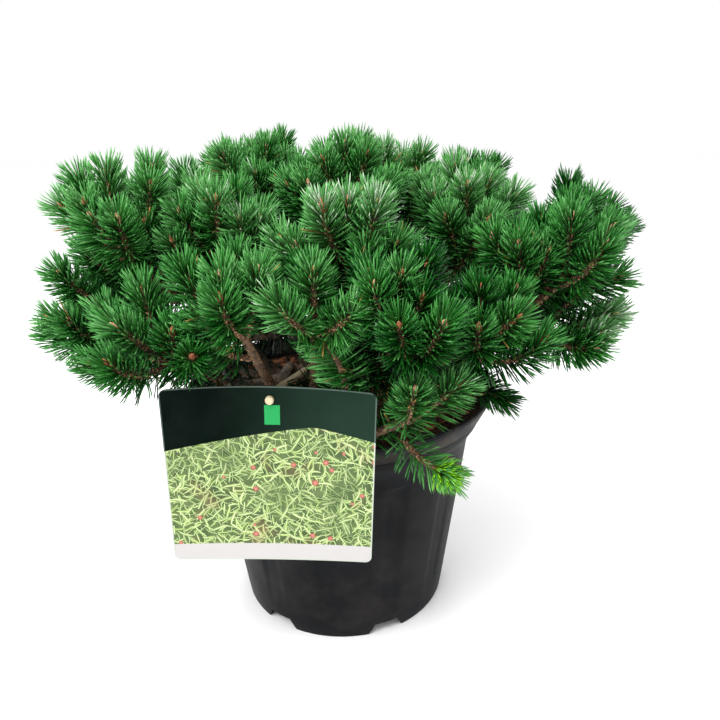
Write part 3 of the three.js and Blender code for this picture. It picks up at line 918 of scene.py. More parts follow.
@dataclass(frozen=True)
class TwigRule:
    """The rule that fits side shoots into a spray's space and grows finer twigs on them.

    The two tufts at the end of the hanging twig are each given as needle share and density.
    """

    root_radius: float = 3.0
    tip_radius: float = 2.3
    stem_radius: float = 4.2
    spur_radius: float = 2.3
    inner_radii: Span = (2.0, 1.6)
    room_root: float = 3.6
    room_tip: float = 2.6
    bud_length: float = 7
    checks: int = 8
    short_of_tip: float = 7
    tones: Span = (0.4, 0.6)
    shoot_tones: Span = (-0.14, 0.14)
    stem_tone: float = -0.2
    spur_tone: float = -0.12
    front_clothes: float = 1.8
    # painted light: how much lighter the front spray's stem and leader needles are made, though its side
    # shoots shade them
    front_light: float = 0.3
    hanging_tone: float = 0.1
    hanging_density: float = 0.5
    tuft_points: int = 4
    tuft_tone: float = 0.75
    lime_tuft: Span = (0.68, 2.2)
    pale_tuft: Span = (0.66, 0.8)
    side_share: float = 0.95
    shares: tuple[float, ...] = (1, 0.85, 0.7)
    stretches: int = 12
    upper_count: int = 4
    spur_rise: float = 0.4
    clothed: float = 0.45
    limb_share: float = 0.8
    inner_tone: float = 0.2
    inner_stretches: int = 8
    inner_places: tuple[float, ...] = (0.3, 0.6, 0.9)
    inner_length: float = 46
    inner_rise: float = 0.6
    inner_floor: float = 318
    inner_seed: int = 9001
    lone_seed: int = 8001
    seed: int = 5001
    shoot_spurs: tuple[SpurGrowth, ...] = (
        SpurGrowth((0.3, 0.42), (38, 52), (0, 35), (40, 52), 0.25, 6),
        SpurGrowth((0.5, 0.62), (36, 48), (0, 35), (34, 44), 0.25, 6),
    )
    stem_spurs: tuple[SpurGrowth, ...] = (
        SpurGrowth((0.35, 0.5), (46, 62), (20, 60), (44, 58), 0.3, 6),
        SpurGrowth((0.6, 0.75), (44, 58), (20, 60), (40, 54), 0.3, 6),
    )

    def fitted_share(self, shoot: Shoot, space: SpraySpace) -> float:
        """Finds how much of a side shoot has room.

        Args:
            shoot: The side shoot.
            space: The space its spray keeps to.

        Returns:
            A share of its length, or 0 where even the shortest has no room.
        """
        start = shoot.line[0]
        for share in self.shares:
            line = start + (shoot.line - start) * share
            rings = [point_along(line, ring / shoot.bands) for ring in range(shoot.bands)]
            last = line[2] - unit(line[2] - rings[-1]) * self.bud_length
            path = np.array([*rings, last])
            felt = [point_along(path, (index + 1) / self.checks) for index in range(self.checks)]
            clear = np.all(space.holds(np.array(felt), self.room_root))
            if clear and space.holds(line[2][None], self.room_tip)[0]:
                return share
        return 0

    def smooth(self, line: np.ndarray) -> np.ndarray:
        """A smooth path through three points.

        Args:
            line: The three points.

        Returns:
            The path.
        """
        t = np.linspace(0, 1, self.stretches + 1)[:, None]
        control = 2 * line[1] - (line[0] + line[2]) / 2
        return (1 - t) ** 2 * line[0] + 2 * t * (1 - t) * control + t * t * line[2]

    def spur(
        self,
        path: np.ndarray,
        random: Seeded,
        side: float,
        growth: SpurGrowth,
        space: SpraySpace,
        tone: float,
        seed: int,
    ) -> list[Twig]:
        """A short shoot that grows on a twig, if it has room.

        Args:
            path: The twig's path.
            random: The spray's own stream of numbers.
            side: The side of the twig it leaves on, -1 or 1.
            growth: Its sizes.
            space: The space its spray keeps to.
            tone: How light its needles are.
            seed: Seed of its needles.

        Returns:
            The shoot, or nothing.
        """
        start = point_along(path, random.span(growth.along))
        aim = unit(path[-1] - path[0])
        across = unit(np.cross(aim, UP if abs(aim[2]) < 0.95 else SIDEWAYS))
        turn = side * math.radians(random.span(growth.turn))
        out = across * math.cos(turn) * side + np.cross(across, aim) * abs(math.sin(turn))
        angle = math.radians(random.span(growth.angle))
        length = random.span(growth.length)
        leave = unit(aim * math.cos(angle) + out * math.sin(angle) + UP * growth.lift)
        middle = start + leave * length / 2
        line = np.array([start, middle, middle + unit(leave + UP * self.spur_rise) * length / 2])
        if not (np.all(space.holds(line[1:], growth.room)) and np.all(PEG_POCKET.outside(line[1:]))):
            return []
        return [Twig(self.smooth(line), self.spur_radius, self.tip_radius, TwigAge.YOUNG, tone, seed)]

    def main_twigs(self, spray: Spray, tone: float, seed: int) -> list[Twig]:
        """A spray's stem and leader, and the light tuft at the end of the hanging one.

        Args:
            spray: The spray.
            tone: How light its needles are.
            seed: Seed of its needles.

        Returns:
            The stem first, then the leader.
        """
        t = np.linspace(0, 1, self.stretches + 1)[:, None]
        fork = mix(self.stem_radius, self.tip_radius, 0.5)
        # Painted light: the front spray's stem and leader get lighter needles where its side shoots shade
        # them.
        light = self.front_light * spray.place.turn
        clothes = 1 + self.front_clothes * spray.place.turn
        stem = mix(spray.root, spray.whorl_point, t)
        stem_tone = tone + self.stem_tone + light
        twigs = [Twig(stem, self.stem_radius, fork, TwigAge.OLD, stem_tone, seed, density=clothes)]
        ends = (self.tip_radius, TwigAge.YOUNG)
        if spray.tier is not TierName.HANGING:
            tip = spray.place.tip - spray.leader_aim * self.short_of_tip
            leader = mix(spray.whorl_point, tip, t)
            return [*twigs, Twig(leader, fork, *ends, tone + light, seed + 1)]
        middle = (spray.whorl_point + spray.place.tip) / 2 + HANGING_SAG[0]
        leader = self.smooth(np.array([spray.whorl_point, middle, spray.place.tip + HANGING_SAG[1]]))
        tuft = leader[-self.tuft_points :]
        own_tone = tone + self.hanging_tone
        return [
            *twigs,
            Twig(leader, fork, *ends, own_tone, seed + 1, density=self.hanging_density),
            Twig(tuft, self.tip_radius, *ends, tone, seed + 2, Shade.LIME, *self.lime_tuft),
            Twig(tuft, self.tip_radius, *ends, self.tuft_tone, seed + 3, None, *self.pale_tuft),
        ]

    def twigs_of(self, spray: Spray, space: SpraySpace) -> list[Twig]:
        """All the needled twigs of one spray.

        Args:
            spray: The spray.
            space: The space it keeps to.

        Returns:
            Its stem, its leader, its side shoots and the short shoots on them.
        """
        random = Seeded(self.seed + spray.order)
        # spray.light adds the spray's painted light and shade to its tone
        tone = random.span(self.tones) + spray.light
        seed = 100 * (spray.order + 1)
        twigs = self.main_twigs(spray, tone, seed)
        dropped = DROPPED_SHOOTS.get(spray.node, ())
        for number, shoot in enumerate(spray.shoots):
            share = self.fitted_share(shoot, space)
            own_tone = tone + random.span(self.shoot_tones)
            sides = (1, -1) if random.next() > 0.5 else (-1, 1)
            if share == 0 or number in dropped or not np.all(PEG_POCKET.outside(shoot.line[1:])):
                continue
            path = self.smooth(shoot.line[0] + (shoot.line - shoot.line[0]) * share * self.side_share)
            own_seed = seed + 3 + number
            twigs.append(Twig(path, self.root_radius, self.tip_radius, TwigAge.YOUNG, own_tone, own_seed))
            for side, growth in zip(sides, self.shoot_spurs if number >= self.upper_count else ()):
                own_seed = seed + 20 + number + 10 * side
                twigs += self.spur(path, random, side, growth, space, own_tone, own_seed)
        if spray.tier in SINGLES:
            return twigs
        for number, growth in enumerate(self.stem_spurs):
            side = 1 if number % 2 else -1
            own_tone = tone + self.spur_tone
            twigs += self.spur(twigs[0].points, random, side, growth, space, own_tone, seed + 50 + number)
        return twigs

    def lone_twigs(self) -> list[Twig]:
        """Makes the shoots outside the whorls.

        Returns:
            One twig for each.
        """
        twigs = []
        for number, lone in enumerate(LONE_SHOOTS):
            path = self.smooth(np.array(lone.line, float))
            age = TwigAge.OLD if lone.old else TwigAge.YOUNG
            root = self.root_radius if lone.old else self.spur_radius
            seed = self.lone_seed + number
            twigs.append(Twig(path, root, self.tip_radius, age, lone.tone, seed, density=lone.density))
        return twigs

    def twigs_along(self, limbs: list[Limb]) -> list[Twig]:
        """Old needles and short old twigs along the boughs and branches, deep in the crown.

        Args:
            limbs: All limbs, the trunk first.

        Returns:
            A needled stretch for each limb but the trunk, and the twigs on it.
        """
        twigs = []
        for number, limb in enumerate(limbs[1:]):
            shares = np.linspace(self.clothed, 1, self.inner_stretches + 1)
            line = np.array([point_along(limb.path, share) for share in shares])
            radius = limb.size.tip_radius * self.limb_share
            seed = self.inner_seed + 10 * number
            twigs.append(Twig(line, radius, radius, TwigAge.OLD, self.inner_tone, seed))
            along, across, beside = frames_along(line)
            for index, share in enumerate(self.inner_places):
                place = int(share * self.inner_stretches)
                turn = GOLDEN_ANGLE * (number + index)
                out = along[place] + across[place] * math.cos(turn) + beside[place] * math.sin(turn)
                middle = line[place] + unit(out) * self.inner_length / 2
                end = middle + unit(out + UP * self.inner_rise) * self.inner_length / 2
                path = np.array([line[place], middle, end])
                if end[2] > self.inner_floor and np.all(PEG_POCKET.outside(path[1:])):
                    own_seed = seed + 1 + index
                    grown = self.smooth(path)
                    twigs.append(Twig(grown, *self.inner_radii, TwigAge.OLD, self.inner_tone, own_seed))
        return twigs


@dataclass
class Needles:
    """Many needles, one to a row."""

    foot: np.ndarray  # where they grow from
    aim: np.ndarray
    bow: np.ndarray  # how far they bow out, and which way
    length: np.ndarray
    radius: np.ndarray
    tone: np.ndarray  # how light they are

    @staticmethod
    def joined(parts: list["Needles"]) -> "Needles":
        """Several sets of needles as one."""
        columns = ([getattr(part, field.name) for part in parts] for field in fields(Needles))
        return Needles(*(np.concatenate(column) for column in columns))

    def kept(self, keep: np.ndarray) -> "Needles":
        """The needles for which a list of truth values holds."""
        return Needles(*(getattr(self, field.name)[keep] for field in fields(Needles)))

    def clear(self) -> "Needles":
        """Leaves out needles that would touch the pot, the compost or the label.

        Returns:
            The other needles.
        """
        keep = np.ones(len(self.length), bool)
        for share in np.linspace(0.1, 1, 8):
            points = self.foot + self.aim * (self.length * share)[:, None]
            off_pot = clear_of_pot(points, MARGINS.needle)
            keep &= off_pot & PEG_POCKET.outside(points) & ~LABEL.touches(points, MARGINS.sheet)
        return self.kept(keep)

    def shape(self) -> Shape:
        """Draws each needle as a three-sided bowed rod with a blunt point and a closed foot.

        Returns:
            Vertices and triangles.
        """
        count = len(self.length)
        across = unit(np.cross(self.aim, np.where(np.abs(self.aim[:, 2:]) < 0.9, UP, SIDEWAYS)))
        beside = np.cross(self.aim, across)
        rings = []
        for share, width, bow in ((0.0, 0.8, -0.6), (0.8, 1.0, 0.4)):
            middle = self.foot + self.aim * (self.length * share)[:, None] + self.bow * bow
            for side in range(3):
                turn = 2 * math.pi * side / 3
                offset = across * math.cos(turn) + beside * math.sin(turn)
                rings.append(middle + offset * (self.radius * width)[:, None])
        rings.append(self.foot + self.aim * self.length[:, None])
        vertices = np.stack(rings, axis=1).reshape(-1, 3)
        pattern = [(0, 2, 1)]
        for side in range(3):
            turned = (side + 1) % 3
            pattern += [(side, turned, 3 + turned), (side, 3 + turned, 3 + side), (3 + side, 3 + turned, 6)]
        triangles = np.array(pattern)[None] + (np.arange(count) * 7)[:, None, None]
        return vertices, triangles.reshape(-1, 3)


@dataclass(frozen=True)
class NeedleRule:
    """The rule that sets needles on a twig, in pairs that wind round it.

    On the lower part of young twigs, and all along old ones, the needles that would face out of the crown
    are left out, so that the bark shows between the others.
    """

    pairs_per_mm: float = 1.95
    old_pairs_per_mm: float = 0.75
    length: Span = (22.5, 27)
    radius: Span = (0.56, 0.74)
    root_tilt: float = 66
    tip_tilt: float = 25
    place_stray: Span = (0.3, 0.7)
    length_stray: Span = (0.95, 1.04)
    tilt_stray: float = 4
    turn_stray: float = 0.1
    aim_stray: float = 0.018
    pair_spread: float = 0.08
    bare: float = 0.1
    old_bare: float = 0.02
    thinning: float = 0.66
    closing_from: float = 0.3
    closing: float = 1.3
    sunk: float = 0.6
    parted_until: float = 0.62
    parted_half: float = 40
    bow: float = 1.5
    bow_stray: float = 0.6
    light_by_place: float = 0.3
    middle_place: float = 0.55
    # painted light and shade: needles deep in the crown are made darker, where shade falls, and those at its
    # outside a little lighter
    light_by_depth: float = 0.75
    surface: float = 0.87
    light_stray: float = 0.12
    crown_centre: Point = (0, 0, 325)
    crown_half: Point = (275, 240, 172)
    outermost: float = 1.02

    def openness(self, points: np.ndarray) -> np.ndarray:
        """How near the crown's surface points lie: 0 deep inside and about 1 at the surface."""
        level = (points - np.array(self.crown_centre)) / np.array(self.crown_half)
        return np.clip(np.linalg.norm(level, axis=1), 0, self.outermost)

    def places(self, twig: Twig, rng: np.random.Generator) -> np.ndarray:
        """Deals pairs of needles out along a twig, closer together towards a young one's tip.

        Args:
            twig: The twig.
            rng: Its stream of numbers.

        Returns:
            The share of the twig's length at which each pair stands.
        """
        old = twig.age is TwigAge.OLD
        pairs = int(twig.length * twig.density * (self.old_pairs_per_mm if old else self.pairs_per_mm))
        share = (np.arange(pairs) + mix(*self.place_stray, rng.random(pairs))) / pairs
        bare = self.old_bare if old else self.bare
        return bare + (1 - bare) * share ** (1.0 if old else self.thinning)

    def on(self, twig: Twig) -> Needles:
        """The needles of one twig.

        Args:
            twig: The twig.

        Returns:
            Its needles.
        """
        rng = np.random.default_rng(twig.seed)
        old = twig.age is TwigAge.OLD
        place = self.places(twig, rng)
        pairs = len(place)
        along, across, beside = frames_along(twig.points)
        index = place * (len(twig.points) - 1)
        axis = self.at(twig.points, index)
        forward = unit(self.at(along, index))
        angle = (np.arange(pairs) * GOLDEN_ANGLE + rng.normal(0, self.turn_stray, pairs))[:, None]
        out = unit(self.at(across, index) * np.cos(angle) + self.at(beside, index) * np.sin(angle))
        near_tip = np.clip((place - self.closing_from) / (1 - self.closing_from), 0, 1) ** self.closing
        tilt = mix(self.root_tilt, self.tip_tilt, 0 if old else near_tip)
        tilt = np.radians(tilt + rng.normal(0, self.tilt_stray, pairs))[:, None]
        aim = forward * np.cos(tilt) + out * np.sin(tilt)
        side = unit(np.cross(forward, out))
        foot = axis + out * mix(twig.root_radius, twig.tip_radius, place)[:, None] * self.sunk
        length = rng.uniform(*self.length, pairs) * twig.needle_share
        middle = foot + aim * length[:, None] / 2
        tone = twig.tone + self.light_by_place * (place - self.middle_place)
        # Painted light and shade: darker needles deep in the crown, where shade falls, and a little lighter
        # at its outside.
        tone = tone + self.light_by_depth * (self.openness(middle) - self.surface)
        outward = unit(axis - np.array(self.crown_centre))
        faces_out = np.sum(out * outward, axis=1) > math.cos(math.radians(self.parted_half))
        kept = ~(faces_out & (old | (place < self.parted_until)))
        parts = []
        for sign in (-1, 1):
            turned = aim + side * sign * self.pair_spread + rng.normal(0, self.aim_stray, (pairs, 3))
            parts.append(
                Needles(
                    foot=foot,
                    aim=unit(turned),
                    bow=out * rng.normal(self.bow, self.bow_stray, pairs)[:, None],
                    length=length * rng.uniform(*self.length_stray, pairs),
                    radius=rng.uniform(*self.radius, pairs),
                    tone=tone + rng.normal(0, self.light_stray, pairs),
                )
            )
        return Needles.joined(parts).kept(np.tile(kept, 2))

    @staticmethod
    def at(values: np.ndarray, index: np.ndarray) -> np.ndarray:
        """Reads values between a path's points, at places counted in points."""
        below = np.minimum(index.astype(int), len(values) - 2)
        return mix(values[below], values[below + 1], (index - below)[:, None])


# --- meshes ---


def joined(shapes: list[Shape]) -> Shape:
    """Many shapes as one.

    Args:
        shapes: The vertices and triangles of each.

    Returns:
        The vertices and triangles of all.
    """
    before = np.cumsum([0, *(len(vertices) for vertices, _ in shapes)])
    triangles = [faces + count for (_, faces), count in zip(shapes, before)]
    return np.concatenate([vertices for vertices, _ in shapes]), np.concatenate(triangles)


def link_mesh(
    name: str, shape: Shape, material: Material | None = None, smooth: bool = True
) -> Object:
    """Makes an object from a shape.

    Args:
        name: Its name.
        shape: Its vertices in millimetres, and its triangles.
        material: Its finish, where it has one from the start.
        smooth: Whether its faces are shaded smooth.

    Returns:
        The object, in metres.
    """
    vertices, triangles = shape
    mesh = bpy.data.meshes.new(name)
    mesh.vertices.add(len(vertices))
    mesh.vertices.foreach_set("co", (vertices * MM).astype(np.float32).ravel())
    mesh.loops.add(triangles.size)
    mesh.loops.foreach_set("vertex_index", triangles.astype(np.int32).ravel())
    mesh.polygons.add(len(triangles))
    mesh.polygons.foreach_set("loop_start", np.arange(0, triangles.size, 3, dtype=np.int32))
    mesh.polygons.foreach_set("use_smooth", np.full(len(triangles), smooth))
    mesh.update(calc_edges=True)
    mesh.validate()
    if material is not None:
        mesh.materials.append(material)
    made = bpy.data.objects.new(name, mesh)
    bpy.context.scene.collection.objects.link(made)
    return made


def shell_faces(rings: int, sides: int) -> np.ndarray:
    """The faces of a closed shape made of rings of points and a point at each end.

    Args:
        rings: How many rings it has. Their points come first.
        sides: How many points a ring has. The end points come last.

    Returns:
        Its triangles.
    """
    around = np.arange(sides)
    after = (around + 1) % sides
    low = np.arange(rings - 1)[:, None] * sides + around
    low_next = np.arange(rings - 1)[:, None] * sides + after
    first = np.full(sides, rings * sides)
    top = (rings - 1) * sides
    corners = (
        (low, low_next, low_next + sides),
        (low, low_next + sides, low + sides),
        (first, after, around),
        (first + 1, top + around, top + after),
    )
    return np.concatenate([np.stack(three, axis=-1).reshape(-1, 3) for three in corners])


def tube(centres: np.ndarray, radii: np.ndarray, end_length: float = 0) -> Shape:
    """A closed round shape along a path.

    Args:
        centres: The path.
        radii: Radius at every point of the path and every side: one row to a point.
        end_length: How far its end is drawn out to a point.

    Returns:
        Its vertices and triangles.
    """
    rings, sides = radii.shape
    along, across, beside = frames_along(centres)
    turns = 2 * np.pi * np.arange(sides) / sides
    offset = across[:, None] * np.cos(turns)[None, :, None] + beside[:, None] * np.sin(turns)[None, :, None]
    wall = (centres[:, None] + offset * radii[:, :, None]).reshape(-1, 3)
    ends = np.array([centres[0], centres[-1] + along[-1] * end_length])
    return np.concatenate([wall, ends]), shell_faces(rings, sides)


def lathe(profile: np.ndarray, segments: int) -> Shape:
    """A closed shape turned round Z from a profile that starts and ends on the axis.

    Args:
        profile: Radius and height of each point.
        segments: How many faces it has round.

    Returns:
        Its vertices and triangles.
    """
    turns = 2 * np.pi * np.arange(segments) / segments
    inner = profile[1:-1]
    x = inner[:, 0:1] * np.cos(turns)
    y = inner[:, 0:1] * np.sin(turns)
    z = np.repeat(inner[:, 1:2], segments, axis=1)
    wall = np.stack([x, y, z], axis=-1).reshape(-1, 3)
    ends = np.array([[0, 0, profile[0, 1]], [0, 0, profile[-1, 1]]])
    return np.concatenate([wall, ends]), shell_faces(len(inner), segments)


def prism_faces(count: int) -> np.ndarray:
    """The faces of an outline drawn out to a block.

    Args:
        count: How many corners the outline has. The near ones come first, then the far ones.

    Returns:
        Its triangles.
    """
    near = np.arange(count)
    after = (near + 1) % count
    inner = np.arange(1, count - 1)
    corner = np.zeros(count - 2, int)
    corners = (
        (near, after, after + count),
        (near, after + count, near + count),
        (corner, inner + 1, inner),
        (corner + count, inner + count, inner + 1 + count),
    )
    return np.concatenate([np.stack(three, axis=1) for three in corners])


class Cut(Enum):
    """How an object is cut with another: the other's shape is taken away, or all outside it."""

    AWAY = "DIFFERENCE"
    TO = "INTERSECT"


def cut(target: Object, tool: Object, way: Cut) -> None:
    """Cuts an object with another and removes the other.

    Args:
        target: The object.
        tool: The other.
        way: Which of its parts goes.
    """
    modifier = target.modifiers.new("cut", "BOOLEAN")
    modifier.operation = way.value
    modifier.solver = "EXACT"
    modifier.object = tool
    graph = bpy.context.evaluated_depsgraph_get()
    mesh = bpy.data.meshes.new_from_object(target.evaluated_get(graph))
    target.modifiers.clear()
    old = target.data
    target.data = mesh
    bpy.data.meshes.remove(old)
    bpy.data.objects.remove(tool, do_unlink=True)


def smooth_but_sharp(piece: Object, degrees: float) -> None:
    """Shades an object smooth, with its sharp edges kept.

    Args:
        piece: The object.
        degrees: Angle from which an edge counts as sharp.
    """
    mesh = piece.data
    mesh.polygons.foreach_set("use_smooth", np.full(len(mesh.polygons), True))
    shape = bmesh.new()
    shape.from_mesh(mesh)
    limit = math.radians(degrees)
    for edge in shape.edges:
        edge.smooth = len(edge.link_faces) == 2 and edge.calc_face_angle(0) < limit
    shape.to_mesh(mesh)
    shape.free()


# --- finishes ---


def tint(red: float, green: float, blue: float) -> Colour:
    """Turns a colour as it looks on screen into the renderer's own scale.

    Args:
        red: Its red, 0 to 255.
        green: Its green.
        blue: Its blue.

    Returns:
        The colour.
    """
    shares = np.array([red, green, blue]) / 255
    linear = np.where(shares <= 0.04045, shares / 12.92, ((shares + 0.055) / 1.055) ** 2.4)
    return (*(float(part) for part in linear), 1.0)


Sockets = bpy.types.bpy_prop_collection


class Board:
    """Adds and joins the nodes of one node tree."""

    def __init__(self, tree: NodeTree) -> None:
        """Takes the tree to work on."""
        self.tree = tree

    def put(self, socket: NodeSocket, value: object) -> None:
        """Gives an input its value.

        Args:
            socket: The input.
            value: Another socket to join to it, or a constant.
        """
        if isinstance(value, NodeSocket):
            self.tree.links.new(value, socket)
        else:
            socket.default_value = value

    def add(self, kind: str, inputs: dict | None = None, **settings: object) -> Node:
        """Adds a node.

        Args:
            kind: The node's type without its family, such as Math.
            inputs: Values or sockets for its inputs, by name or number.
            settings: Its other settings.

        Returns:
            The node.
        """
        node = self.tree.nodes.new(f"ShaderNode{kind}")
        for name, value in settings.items():
            setattr(node, name, value)
        for key, value in (inputs or {}).items():
            self.put(node.inputs[key], value)
        return node

    def math(self, operation: str, *values: object) -> NodeSocket:
        """A sum or comparison of up to three values or sockets."""
        return self.add("Math", dict(enumerate(values)), operation=operation).outputs[0]

    def multiply(self, one: object, other: object) -> NodeSocket:
        """Two values or sockets multiplied."""
        return self.math("MULTIPLY", one, other)

    def blend(self, share: object, low: object, high: object) -> NodeSocket:
        """Two colours mixed by a share."""
        return self.add("Mix", {0: share, 6: low, 7: high}, data_type="RGBA").outputs[2]

    def spread(self, value: object, low: float, high: float, to: Span = (0, 1)) -> NodeSocket:
        """A value's range spread over another range, and kept inside it."""
        inputs = {"Value": value, "From Min": low, "From Max": high, "To Min": to[0], "To Max": to[1]}
        return self.add("MapRange", inputs).outputs["Result"]

    def distance(self, value: object, centre: float) -> NodeSocket:
        """How far a value lies from another."""
        return self.math("ABSOLUTE", self.math("SUBTRACT", value, centre))

    def place(self) -> NodeSocket:
        """The place on the piece, in metres."""
        return self.add("TexCoord").outputs["Object"]

    def noise(self, where: NodeSocket, scale: object, detail: float) -> NodeSocket:
        """Soft noise at a place."""
        return self.add("TexNoise", {"Vector": where, "Scale": scale, "Detail": detail}).outputs["Fac"]


def new_material(name: str) -> tuple[Material, Board, Sockets]:
    """An empty material.

    Args:
        name: Its name.

    Returns:
        The material, its board and its shader's inputs.
    """
    made = bpy.data.materials.new(name)
    made.use_nodes = True
    return made, Board(made.node_tree), made.node_tree.nodes["Principled BSDF"].inputs


class Effects:
    """Shader groups that several finishes share, each built once."""

    def __init__(self) -> None:
        """Builds the groups."""
        self.mottle = self.build_mottle()
        self.relief = self.build_relief()
        self.dust = self.build_dust()

    @staticmethod
    def group(
        name: str, inputs: str, colours: str, outputs: str
    ) -> tuple[NodeTree, Board, Sockets, Sockets]:
        """An empty group with its named sockets.

        Args:
            name: Its name.
            inputs: Its inputs' names, parted by commas.
            colours: Which of all its sockets are colours. The others are values.
            outputs: Its outputs' names.

        Returns:
            The group's tree, its board, the sockets that bring its inputs and those that take its outputs.
        """
        made = bpy.data.node_groups.new(name, "ShaderNodeTree")
        for way, labels in (("INPUT", inputs), ("OUTPUT", outputs)):
            for label in labels.split(", "):
                kind = "NodeSocketColor" if label in colours.split(", ") else "NodeSocketFloat"
                made.interface.new_socket(label, in_out=way, socket_type=kind)
        source = made.nodes.new("NodeGroupInput")
        sink = made.nodes.new("NodeGroupOutput")
        return made, Board(made), source.outputs, sink.inputs

    def build_mottle(self) -> NodeTree:
        """Two colours in soft patches, with finer flecks of a third.

        Returns:
            The group, which puts out the colour and the patches' mask.
        """
        made, board, source, sink = self.group(
            "mottle", "Scale, Dark, Light, Fleck, Fleck Share", "Dark, Light, Fleck, Color", "Color, Mask"
        )
        where = board.place()
        inputs = {"Vector": where, "Scale": source["Scale"], "Detail": 5.0, "Roughness": 0.6}
        mask = board.spread(board.add("TexNoise", inputs).outputs["Fac"], 0.36, 0.64)
        flecks = board.noise(where, board.multiply(source["Scale"], 3.1), 3.0)
        edge = board.math("SUBTRACT", 0.72, board.multiply(source["Fleck Share"], 0.4))
        clear = board.spread(board.multiply(board.math("SUBTRACT", flecks, edge), 14.0), 0, 1)
        base = board.blend(mask, source["Dark"], source["Light"])
        board.put(sink["Color"], board.blend(clear, base, source["Fleck"]))
        board.put(sink["Mask"], mask)
        return made

    def build_relief(self) -> NodeTree:
        """Coarse plates with fine grain on them.

        Returns:
            The group, which puts out a height.
        """
        made, board, source, sink = self.group("relief", "Scale, Stretch, Grain", "", "Height")
        where = board.place()
        flat = board.add("CombineXYZ", {0: 1.0, 1: 1.0, 2: source["Stretch"]}).outputs[0]
        stretched = board.add("VectorMath", {0: where, 1: flat}, operation="MULTIPLY").outputs[0]
        inputs = {"Vector": stretched, "Scale": source["Scale"]}
        plates = board.add("TexVoronoi", inputs, feature="DISTANCE_TO_EDGE").outputs["Distance"]
        grain = board.noise(where, board.multiply(source["Scale"], 5.0), 4.0)
        grain = board.multiply(grain, source["Grain"])
        board.put(sink["Height"], board.math("ADD", board.spread(plates, 0, 0.25), grain))
        return made

    def build_dust(self) -> NodeTree:
        """Dust in soft patches and small pale specks over a colour.

        Returns:
            The group, which puts out the dusty colour.
        """
        made, board, source, sink = self.group("dust", "Color, Dust, Amount, Specks", "Color, Dust", "Color")
        where = board.place()
        inputs = {"Vector": where, "Scale": 22.0, "Detail": 6.0, "Roughness": 0.65}
        patches = board.spread(board.add("TexNoise", inputs).outputs["Fac"], 0.45, 0.8)
        dots = board.add("TexVoronoi", {"Vector": where, "Scale": 62.0})
        drawn = board.add("SeparateColor", {0: dots.outputs["Color"]}).outputs[0]
        reach = board.multiply(board.multiply(board.spread(drawn, 0.93, 1.0), source["Specks"]), 0.09)
        speck = board.math("LESS_THAN", dots.outputs["Distance"], reach)
        soft = board.multiply(patches, source["Amount"])
        mask = board.math("MAXIMUM", soft, board.multiply(speck, 0.7))
        board.put(sink["Color"], board.blend(mask, source["Color"], source["Dust"]))
        return made


@dataclass(frozen=True)
class Relief:
    """A relief that bends the light on a finish."""

    scale: float  # how fine it is
    depth: float  # its depth in metres
    stretch: float = 1  # how much it is squeezed upwards
    grain: float = 0.5  # how much fine grain it has
    strength: float = 1  # how strongly it shows

    def normal(self, board: Board, effects: Effects) -> NodeSocket:
        """Adds it to a material.

        Args:
            board: The material's board.
            effects: The shared groups.

        Returns:
            The bent normal.
        """
        inputs = {"Scale": self.scale, "Stretch": self.stretch, "Grain": self.grain}
        height = board.add("Group", inputs, node_tree=effects.relief).outputs["Height"]
        inputs = {"Height": height, "Strength": self.strength, "Distance": self.depth}
        return board.add("Bump", inputs).outputs["Normal"]


@dataclass(frozen=True)
class Finish:
    """A finish of mottled colour, most often over a relief, with its tints as they look on screen."""

    name: str
    dark: Point  # its darker tint
    light: Point  # its lighter tint
    fleck: Point  # the tint of its flecks
    fleck_share: float  # how much of it the flecks cover
    scale: float  # how fine its patches are
    roughness: float  # how dull it is
    relief: Relief | None = None  # its relief, or None where it is smooth
    specular: float = 0.5  # how much it shines

    def mottle(self, board: Board, effects: Effects) -> Sockets:
        """Adds the mottled colour to a material.

        Args:
            board: The material's board.
            effects: The shared groups.

        Returns:
            The outputs of the shared group.
        """
        inputs = {"Dark": tint(*self.dark), "Light": tint(*self.light), "Fleck": tint(*self.fleck)}
        inputs |= {"Scale": self.scale, "Fleck Share": self.fleck_share}
        return board.add("Group", inputs, node_tree=effects.mottle).outputs

    def material(self, effects: Effects) -> Material:
        """Builds the material.

        Args:
            effects: The shared groups.

        Returns:
            The material.
        """
        made, board, shader = new_material(self.name)
        board.put(shader["Base Color"], self.mottle(board, effects)["Color"])
        shader["Roughness"].default_value = self.roughness
        shader["Specular IOR Level"].default_value = self.specular
        if self.relief is not None:
            board.put(shader["Normal"], self.relief.normal(board, effects))
        return made


NEEDLE_TINTS = {
    Shade.DEEP: (0, 44, 3),
    Shade.FOREST: (12, 85, 16),
    Shade.GREEN: (54, 126, 49),
    Shade.FRESH: (90, 156, 82),
    Shade.PALE: (172, 198, 164),
    Shade.LIME: (126, 196, 34),
    Shade.DRY: (170, 130, 66),
}


def needle_finish(shade: Shade) -> Finish:
    """The finish of needles: nearly one colour, a little lighter and darker in patches.

    Args:
        shade: Their shade.

    Returns:
        The finish.
    """
    usual = np.array(NEEDLE_TINTS[shade])
    dark = tuple(usual * (0.92, 0.93, 0.92))
    light = tuple(np.minimum(255, usual * (1.08, 1.06, 1.08)))
    return Finish(f"needle_{shade.value}", dark, light, light, 0, 45, 0.42, specular=0.3)


